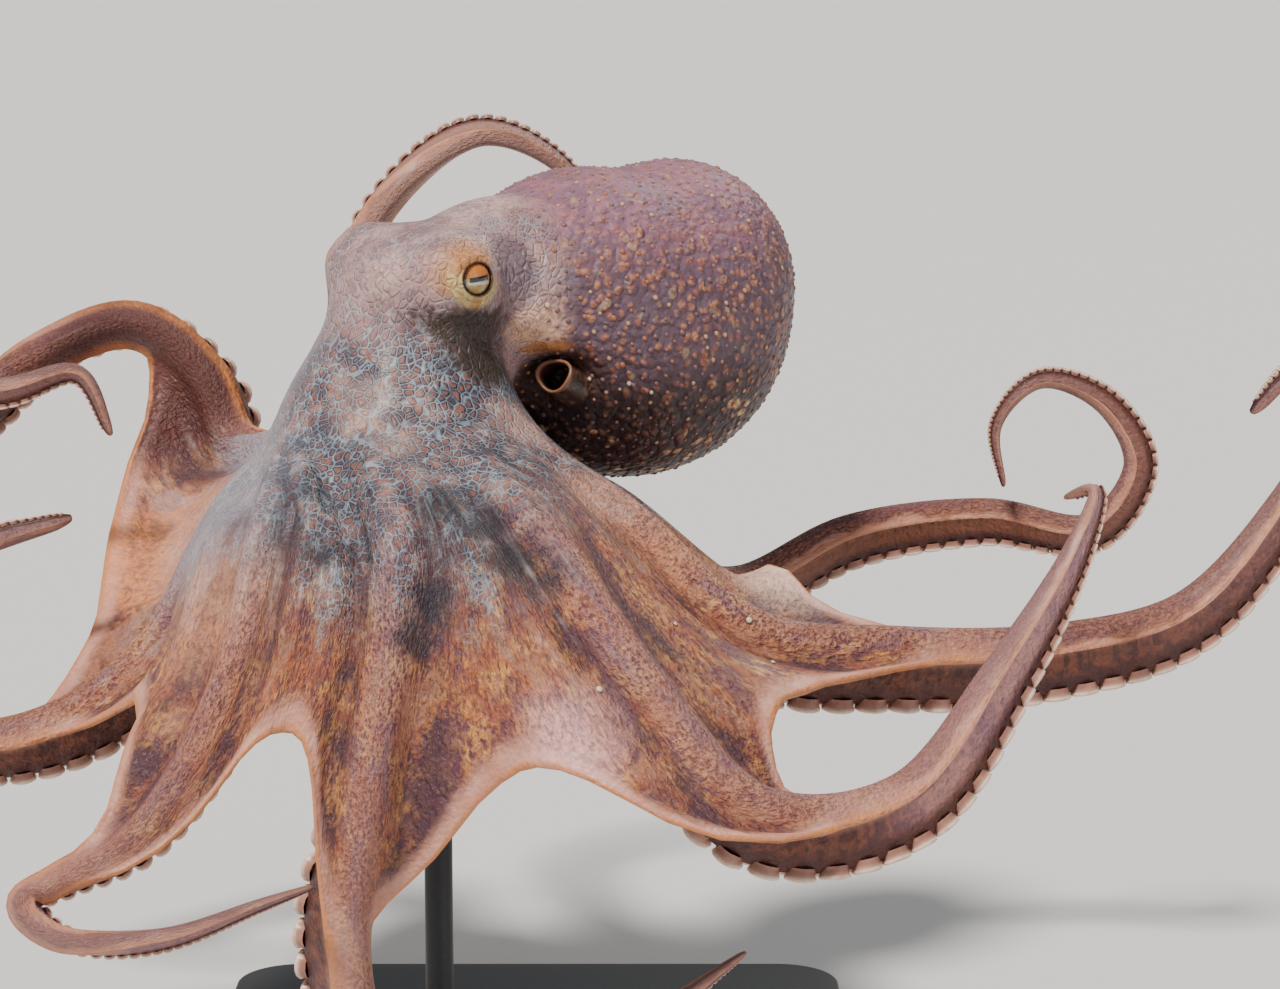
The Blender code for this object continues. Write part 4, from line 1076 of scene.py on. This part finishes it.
# %% The octopus's skin
def skin_look():
    look = Look("octopus_skin", IOR=1.4, Coat_Roughness=0.28, Subsurface_Weight=0.10, Subsurface_Scale=0.004)
    look.shader.inputs["Subsurface Radius"].default_value = (1.0, 0.35, 0.2)
    reach, under, edge, ridge, free, tip, mantle, x, y, eye_x, eye_y = map(look.known, Shape.KNOWN)

    def grown(across, down, **how):
        """A noise that is stretched round and down the arms and webs."""
        return look.noise(1.0, look.vector(x * across, y * across, reach * down), **how)

    streaks = grown(11.0, 30.0, detail=3.0, rough=0.6)
    blotch = look.noise(30.0, detail=3.0, rough=0.6)
    patch = look.noise(75.0, detail=3.0, rough=0.65)
    speck = look.noise(260.0, rough=0.6)
    lengthwise, crosswise = grown(105.0, 250.0, rough=0.6, bend=0.5), grown(60.0, 430.0, rough=0.6, bend=0.3)
    ripple = lengthwise + (crosswise - lengthwise) * (ridge + blotch.swing(0.6)).step(0.35, 0.65)
    off = patch.swing(1.6)  # a wobble for the edges of painted patches

    # Webs: golden crests and purple valleys, with broad purple streaks. Their light and dark follow the
    # ripple of the bump, so they are partly painted light and shade.
    crest = (patch + streaks.swing(0.6)).step(0.38, 0.66).mix((0.50, 0.150, 0.065), (0.80, 0.37, 0.105))
    valley = blotch.step(0.4, 0.6).mix((0.15, 0.05, 0.075), (0.23, 0.08, 0.06))
    web = painted((ripple + speck.swing(0.3)).step(0.33, 0.66).mix(valley, crest),
                  (streaks.step(0.51, 0.62) * 0.75, (0.145, 0.055, 0.085)),
                  (streaks.step(0.46, 0.35) * 0.4, (0.74, 0.36, 0.20)))

    # A painted lavender highlight runs along the arms' backs, with painted shade in the gutter on either
    # side.
    # The eighth part of a turn is one arm.
    turn_2 = x * x - y * y
    turn_4 = turn_2 * turn_2 * 2.0 - 1.0
    turn_8 = turn_4 * turn_4 * 2.0 - 1.0 + patch.swing(0.5)
    gutter = (1 - abs(turn_8).step(0.15, 0.65)) * reach.step(0.055, 0.085)
    ridge_highlight = turn_8.step(0.45, 0.85) * reach.step(0.06, 0.10)

    # Cone: pale lines close cells that are slate at their edge and red-brown in their middle, with a painted
    # lavender light on the side that faces the main light.
    bent = look.vectors("MULTIPLY", look.bent(70.0, 0.007), (1.0, 1.0, 0.72))
    wide, narrow = (look.cells(scale, bent, "DISTANCE_TO_EDGE") for scale in (290.0, 470.0))
    border = look.math("MINIMUM", wide, narrow * 1.3 + blotch.step(0.60, 0.42) * 0.6)
    red = (1 - (look.cells(140.0, bent) + speck.swing(0.25)).step(0.20, 0.34)) * patch.step(0.40, 0.52)
    net = (1 - border.step(0.0, 0.13)) * (1 - red * 0.75)
    light = patch.step(0.46, 0.68) * 0.5
    for spot in LIGHT_PATCHES:
        light = light + look.spot(*spot, 0.012) * 0.45
    dark = grown(9.0, 24.0).step(0.53, 0.63) * reach.step(0.015, 0.06) * 0.95
    slate, slate_at = 0.0, look.bent(90.0, 0.016)
    for spot in DARK_PATCHES:
        slate = look.math("MAXIMUM", slate, look.spot(*spot, 0.014, slate_at))
    slate = slate * reach.step(0.05, 0.085)
    cell = (border + patch.swing(0.3)).step(0.10, 0.34).mix((0.070, 0.058, 0.085), (0.250, 0.112, 0.092))
    cell = painted(cell, (red * 0.85, (0.30, 0.085, 0.055)), (light, (0.62, 0.36, 0.30)),
                   (dark * 0.9, (0.034, 0.034, 0.046)))
    line = (dark * 0.8).mix((0.40, 0.52, 0.60), (0.10, 0.17, 0.21))
    cone = painted(cell, (net * (patch.step(0.25, 0.6) * 0.55 + 0.2), line),
                   # Painted lavender light on the side of the cone towards the main light.
                   (x.step(0.98, 0.45) * y.step(0.0, -0.4) * 0.5, (0.60, 0.54, 0.62)))

    # Head: pink and smooth above, with the net coming in lower down.
    head = painted(blotch.step(0.38, 0.62).mix((0.68, 0.43, 0.40), (0.42, 0.25, 0.26)),
                   (speck.step(0.5, 0.62) * 0.5, (0.36, 0.18, 0.17)),
                   ((patch + blotch.swing(0.4)).step(0.47, 0.60) * 0.55, (0.27, 0.165, 0.19)),
                   (net * patch.step(0.40, 0.58) * 0.5, (0.56, 0.60, 0.66)))

    # Mantle: mauve above; grey-purple with red-orange grains; painted shade below, with orange and cream
    # dots.
    height, lower = look.shaded_underside(blotch)
    upper = (height + blotch.swing(0.05)).step(-0.005, 0.045)
    dots = look.cells(200.0, look.bent(90.0, 0.006))
    grain = 1 - (dots + patch.swing(0.5)).step(0.18, 0.46)
    rare = (1 - look.cells(105.0, look.bent(60.0, 0.010)).step(0.20, 0.34)) * blotch.step(0.46, 0.54)
    bag = painted(upper.mix((0.150, 0.085, 0.110), (0.37, 0.165, 0.225)),
                  # Painted shade darkens the mantle's lower half.
                  (patch.step(0.42, 0.6) * 0.5, (0.16, 0.11, 0.155)), (lower, (0.042, 0.022, 0.024)),
                  (grain * (1 - lower * 0.65) * (1 - upper * 0.55) * 0.85,
                   speck.step(0.4, 0.6).mix((0.40, 0.125, 0.07), (0.62, 0.27, 0.15))),
                  (rare * (0.35 + lower * 0.6),
                   speck.step(0.42, 0.56).mix((0.52, 0.19, 0.06), (0.78, 0.55, 0.30))))

    # Arms' backs and sides past the web, painted lighter on the front arms where the main light falls, then
    # the margins with their rim, then the undersides, dark red deepened with painted shade.
    back = painted(ripple.step(0.35, 0.65).mix((0.15, 0.052, 0.044), (0.37, 0.145, 0.095)),
                   (streaks.step(0.5, 0.62) * 0.6, (0.20, 0.085, 0.105)),
                   # Painted light on the backs of the front arms, which face the main light.
                   (x.step(0.4, 0.65) * 0.35, (0.52, 0.25, 0.235)),
                   (x.step(-0.75, -0.95) * 0.55, (0.66, 0.36, 0.25)), (tip * 0.7, (0.40, 0.22, 0.22)))
    band = 0.0016 + (1 - free) * 0.0095
    pale = (1 - (edge + blotch.swing(0.010)).step(band * 0.5, band * 1.5)) * reach.step(0.09, 0.14)
    pale = pale * (1 - ridge * 0.7)
    skin = painted((reach + blotch.swing(0.03)).step(-0.082, -0.030).mix(head, cone),
                   ((reach + streaks.swing(0.12) + y.step(0.3, 0.9) * 0.035).step(0.085, 0.145), web),
                   # Painted shade in the gutters, and a painted highlight along the arms' ridges.
                   (gutter * (0.30 + streaks.step(0.42, 0.58) * 0.45), (0.075, 0.036, 0.050)),
                   (ridge_highlight * (ripple + streaks.swing(0.5)).step(0.32, 0.68) * 0.35, (0.58, 0.35, 0.38)),
                   (slate * 0.8, (0.040, 0.038, 0.050)), (mantle, bag),
                   (look.math("MAXIMUM", free, ridge * reach.step(0.13, 0.22) * 0.5), back),
                   (pale * 0.85, patch.step(0.3, 0.7).mix((0.66, 0.29, 0.20), (0.80, 0.42, 0.34))))
    # Pale stretches of skin, the first two of them painted highlights.
    for *spot, share, colour in PALE_AND_LIT_WEB:
        there = look.spot(*spot, 0.03, look.bent(60.0, 0.014)) * (0.5 + ripple.step(0.33, 0.62) * 0.5)
        skin = (there * share).mix(skin, colour)
    # A lit copy of the arms' side colour, painted on the sides of the front arms.
    lit_wall = (streaks + ripple.swing(0.4)).step(0.4, 0.6).mix((0.25, 0.12, 0.155), (0.47, 0.22, 0.195))
    # The undersides and the arms' sides are dark red, deepened with painted shade.
    inner = blotch.step(0.4, 0.6).mix((0.10, 0.028, 0.020), (0.065, 0.018, 0.018))
    wall = (ripple + streaks.swing(0.6)).step(0.35, 0.65).mix((0.065, 0.017, 0.013), (0.185, 0.050, 0.026))
    wall = painted(wall, (free * x.step(0.4, 0.65) * 0.85, lit_wall),
                   (x.step(-0.4, -0.62) * y.step(0.3, 0.55) * 0.7, (0.24, 0.075, 0.035)),
                   (x.step(-0.75, -0.95) * 0.7, (0.56, 0.28, 0.19)), (tip * 0.5, (0.34, 0.19, 0.20)))
    rim = (1 - edge.step(0.0010, 0.0036)) * reach.step(0.09, 0.13) * (1 - ridge) * (1 - free * 0.55)
    # Painted shade darkens the arch of the right third arm.
    skin = painted(skin, (look.spot(*SHADED_ARCH, 0.03, look.bent(60.0, 0.012)) * 0.9, (0.105, 0.032, 0.030)),
                   (under.step(0.22, 0.42), under.step(0.6, 0.95).mix(wall, inner)),
                   (rim * (0.45 + patch.step(0.35, 0.6) * 0.45), (0.70, 0.25, 0.075)))

    # Round the eye: a dark patch that runs down under it; pale, dark and orange patches behind it, with
    # painted shade in the hollow below them; an orange brow, a cream lower lid and painted shade in the lid's
    # grooves.
    on_head = reach.step(-0.02, -0.035)

    def away(across, up):
        return look.math("SQRT", across * across + up * up)

    def about(cx, cy, wide, high, soft=0.35):
        """1 inside an oval of the eye's own frame, with a wobbling soft edge."""
        from_middle = away((eye_x - cx) / wide, (eye_y - cy) / high) + off * 0.35
        return (1 - from_middle.step(1 - soft, 1 + soft)) * on_head

    near = away(eye_x, eye_y)
    torn = off * 1.6 + speck.swing(1.2)
    narrows = look.math("MAXIMUM", -eye_y - 2.5, 0.0) * 0.38
    shade = 1 - (abs(eye_x - 0.25 * eye_y - 0.6) + torn + narrows).step(1.6, 3.7)
    shade = shade * (eye_y + torn).step(-0.9, -2.3) * (eye_y + torn).step(-8.6, -5.4) * on_head
    brow = (1 - (near + off * 0.3).step(1.5, 2.6)) * (eye_y + eye_x * 0.6).step(-0.7, 0.9) * on_head
    lid = (1 - (near + off * 0.2).step(1.45, 1.85)) * (eye_y - eye_x * 0.25).step(0.45, -0.15) * on_head
    # Painted shade in the lid's grooves and along its inturned edge.
    groove_shade = near.step(1.38, 1.29) * near.step(1.20, 1.29) * 0.35 + near.step(1.07, 1.01)
    lid_colour = (abs(eye_x - 0.1) + off * 0.3).step(0.5, 0.1) * 0.7
    lid_colour = lid_colour.mix((0.80, 0.58, 0.25), (0.56, 0.25, 0.07))
    look.set("Base Color", painted(
        skin, (shade * 0.93, blotch.step(0.4, 0.6).mix((0.026, 0.022, 0.020), (0.062, 0.040, 0.026))),
        (about(-4.4, -3.2, 1.4, 1.1, 0.55) * (0.55 + speck.step(0.38, 0.58) * 0.4), (1.0, 0.60, 0.39)),
        (about(-5.2, -4.5, 1.2, 0.40) * 0.8, (0.62, 0.24, 0.07)),
        # Painted shade in the mantle's hollow under the orange lip.
        (about(-6.2, -6.5, 1.8, 1.7) * 0.9, (0.060, 0.026, 0.018)),
        (about(-3.2, 0.3, 1.2, 2.1) * 0.75, (0.115, 0.080, 0.115)), (brow * 0.85, (0.66, 0.27, 0.075)),
        (lid * 0.92, lid_colour),
        (groove_shade * on_head * 0.85, (0.085, 0.034, 0.022))))

    soft = (1 - pale) * (1 - under * 0.6)
    relief = ripple * reach.step(0.045, 0.09) * (0.6 + soft * 2.6)
    relief = relief + (1 - look.cells(430.0, look.bent(200.0, 0.002))) * 0.55
    relief = relief + (1 - dots) * (mantle * 1.9 + 0.15) + rare * mantle * 1.0
    relief = relief + border.step(0.0, 0.22) * reach.step(0.13, 0.03) * (1 - mantle) * 0.9 + speck * 0.5
    look.bump(relief, 0.0010, 0.85)
    look.set("Coat Weight", patch.step(0.35, 0.7) * 0.12 + 0.03)
    look.set("Roughness", speck.step(0.3, 0.8) * 0.16 + 0.44)
    return look.material


# %% Papillae, funnel and suckers
def wart_look():
    look = Look("papilla_flesh", Roughness=0.4, Coat_Weight=0.15, Subsurface_Weight=0.1, **FLESH)
    tone, tip, blotch = look.known("tone"), look.known("tip"), look.noise(30.0, detail=3.0, rough=0.6)
    lower = look.shaded_underside(blotch)[1]
    # The warts' feet low on the mantle take the same painted shade.
    foot = lower.mix(tone.step(0.2, 0.7).mix((0.22, 0.12, 0.13), (0.30, 0.13, 0.10)), (0.07, 0.03, 0.026))
    top = painted(tone.step(0.3, 0.6).mix((0.26, 0.13, 0.14), (0.48, 0.17, 0.085)),
                  (tone.step(0.66, 0.76), (0.70, 0.42, 0.22)), (tone.step(0.9, 0.95), (0.84, 0.70, 0.50)))
    look.set("Base Color", (tip + blotch.swing(0.4)).step(0.2, 0.7).mix(foot, top))
    look.bump(look.noise(700.0), 0.0004, 0.5)
    return look.material


def funnel_look():
    look = Look("funnel_flesh", Roughness=0.4, Coat_Weight=0.2, Subsurface_Weight=0.1, **FLESH)
    lip, blotch = look.known("lip"), look.noise(60.0, detail=3.0, rough=0.6)
    look.set("Base Color", painted(
        blotch.step(0.4, 0.6).mix((0.045, 0.022, 0.017), (0.120, 0.058, 0.040)),
        (look.noise(240.0).step(0.52, 0.62) * 0.6, (0.24, 0.105, 0.06)),
        ((lip + blotch.swing(0.15)).step(0.80, 0.99), (0.25, 0.110, 0.060)),
        # Painted shade inside the funnel's mouth.
        (lip.step(1.0, 1.12), (0.045, 0.018, 0.014))))
    look.bump(look.noise(380.0), 0.0006, 0.7)
    return look.material


def sucker_look():
    look = Look("sucker_flesh", Roughness=0.38, Coat_Weight=0.2, Subsurface_Weight=0.15, **FLESH)
    cup = look.known("cup")
    look.set("Base Color", painted(
        cup.step(0.06, 0.28).mix((0.34, 0.15, 0.11), (0.86, 0.64, 0.52)),
        (cup.step(0.75, 1.0), (0.42, 0.17, 0.11)),
        (look.noise(160.0).step(0.46, 0.70) * 0.5, (0.56, 0.28, 0.20))))
    look.bump(look.noise(900.0), 0.0003, 0.5)
    return look.material


# %% Eyes and stand
def eye_look():
    look = Look("octopus_eye", Roughness=0.2, IOR=1.4, Coat_Weight=1.0, Coat_Roughness=0.03)
    gaze = look.known("gaze", "Vector")
    across, up = (look.part(gaze, k) for k in (0, 1))
    size = look.math("SQRT", across * across + up * up)
    spread = look.noise(9.0, gaze, detail=3.0) - 0.5
    slit = abs(up + across * 0.10 - 0.01)
    pupil = (1 - slit.step(0.085, 0.12)) * (1 - abs(across).step(0.42, 0.50))
    look.set("Base Color", painted(
        (up + spread * 0.2).step(0.0, 0.16).mix((0.50, 0.33, 0.10), (0.70, 0.22, 0.035)),
        (abs(up + 0.17 + spread * 0.1).step(0.10, 0.02) * 0.9, (0.85, 0.82, 0.66)),
        (look.noise(14.0, gaze, detail=3.0).step(0.5, 0.7) * 0.5, (0.16, 0.07, 0.03)),
        ((size + spread * 0.1).step(0.52, 0.66), (0.035, 0.030, 0.042)), (pupil, (0.004, 0.006, 0.020))))
    return look.material


def stand_look():
    look = Look("stand_coating", Roughness=0.45, IOR=1.5)
    speck = look.noise(900.0, detail=1.0)
    look.set("Base Color", (speck.step(0.4, 0.7) * 0.4).mix((0.055, 0.056, 0.06), (0.075, 0.076, 0.08)))
    look.bump(speck, 0.00012, 0.4)
    return look.material


# %% Looks on their pieces
looks = {"skin": skin_look(), "papilla": wart_look(), "funnel": funnel_look(), "sucker": sucker_look(),
         "eye": eye_look(), "stand": stand_look()}
for key, pieces in (("skin", [skin_obj]), ("papilla", [papillae]), ("funnel", [funnel]), ("sucker", suckers),
                    ("eye", eyes), ("stand", stand)):
    for piece in pieces:
        piece.data.materials.append(looks[key])
print("materials:", ", ".join(looks))

# %% [markdown]
# ## Joining the pieces to the frame
# Every piece is hung under one body, and the solids of the frame that the pieces stand in for are hidden.

# %% Hiding the solids and hanging the pieces
flesh = [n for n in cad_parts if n.startswith(("arm_", "web_")) or n in ("head", "mantle", "mouth")]
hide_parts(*flesh)
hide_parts("funnel")
for piece, node in zip(eyes + stand, ("eye_left", "eye_right", "stand_base", "stand_rod")):
    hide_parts(node)
for piece, slot in [(skin_obj, "skin"), (funnel, "skin"), (papillae, "skin"), *[(p, "skin") for p in suckers],
                    *[(p, "eye") for p in eyes], *[(p, "stand") for p in stand]]:
    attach(piece, "root")
print("the skin stands for", len(flesh), "solids")

# %% [markdown]
# ## Studio
# The animal stands on a pale floor. The main light is high, in front and to the left, as sunlight comes
# down through water; a weak cool light fills the shadows and another draws the rims from behind.

# %% Floor and lights
def pale_floor():
    look = Look("studio_floor", Roughness=0.9)
    look.set("Base Color", (0.80, 0.80, 0.79))
    bm = bmesh.new()
    bmesh.ops.create_grid(bm, x_segments=1, y_segments=1, size=40.0)
    mesh = bpy.data.meshes.new("studio_floor")
    bm.to_mesh(mesh)
    bm.free()
    mesh.materials.append(look.material)
    return add_object(mesh)


def sun(name, way, strength, spread, colour):
    light = bpy.data.lights.new(name, "SUN")
    light.energy, light.angle, light.color = strength, math.radians(spread), colour
    obj = add_object(light)
    obj.rotation_euler = Vector(way).to_track_quat("-Z", "Y").to_euler()
    return obj


floor = pale_floor()
LOOKED_AT = HEAD_AT + np.array((0.101, -0.016, -0.091))
lights = [sun("key", (0.35, 0.50, -1.0), 4.1, 10, (1.0, 0.95, 0.88)),
          sun("fill", (-1.0, 0.9, -0.35), 0.28, 40, (0.80, 0.90, 1.0)),
          sun("rim", (-0.5, -1.0, -0.8), 0.7, 20, (1.0, 0.97, 0.92))]
print("lights:", ", ".join(light.name for light in lights))

# %% The world's light
world = bpy.data.worlds.new("studio")
bpy.context.scene.world = world
world.use_nodes = True
world.node_tree.nodes["Background"].inputs["Color"].default_value = (0.88, 0.94, 1.0, 1.0)
world.node_tree.nodes["Background"].inputs["Strength"].default_value = 0.205

# %% The camera
CAMERA_UP, CAMERA_AWAY, LENS = math.radians(10), 1.6, 100
camera = add_object(bpy.data.cameras.new("camera"))
camera.data.lens, camera.data.sensor_width = LENS, 36
sight = np.array((0, math.cos(CAMERA_UP), -math.sin(CAMERA_UP)))
camera.location = LOOKED_AT - CAMERA_AWAY * sight
camera.rotation_euler = Vector(sight).to_track_quat("-Z", "Y").to_euler()
bpy.context.scene.camera = camera
print("camera:", round(CAMERA_AWAY, 2), "m away, lens", LENS, "mm")
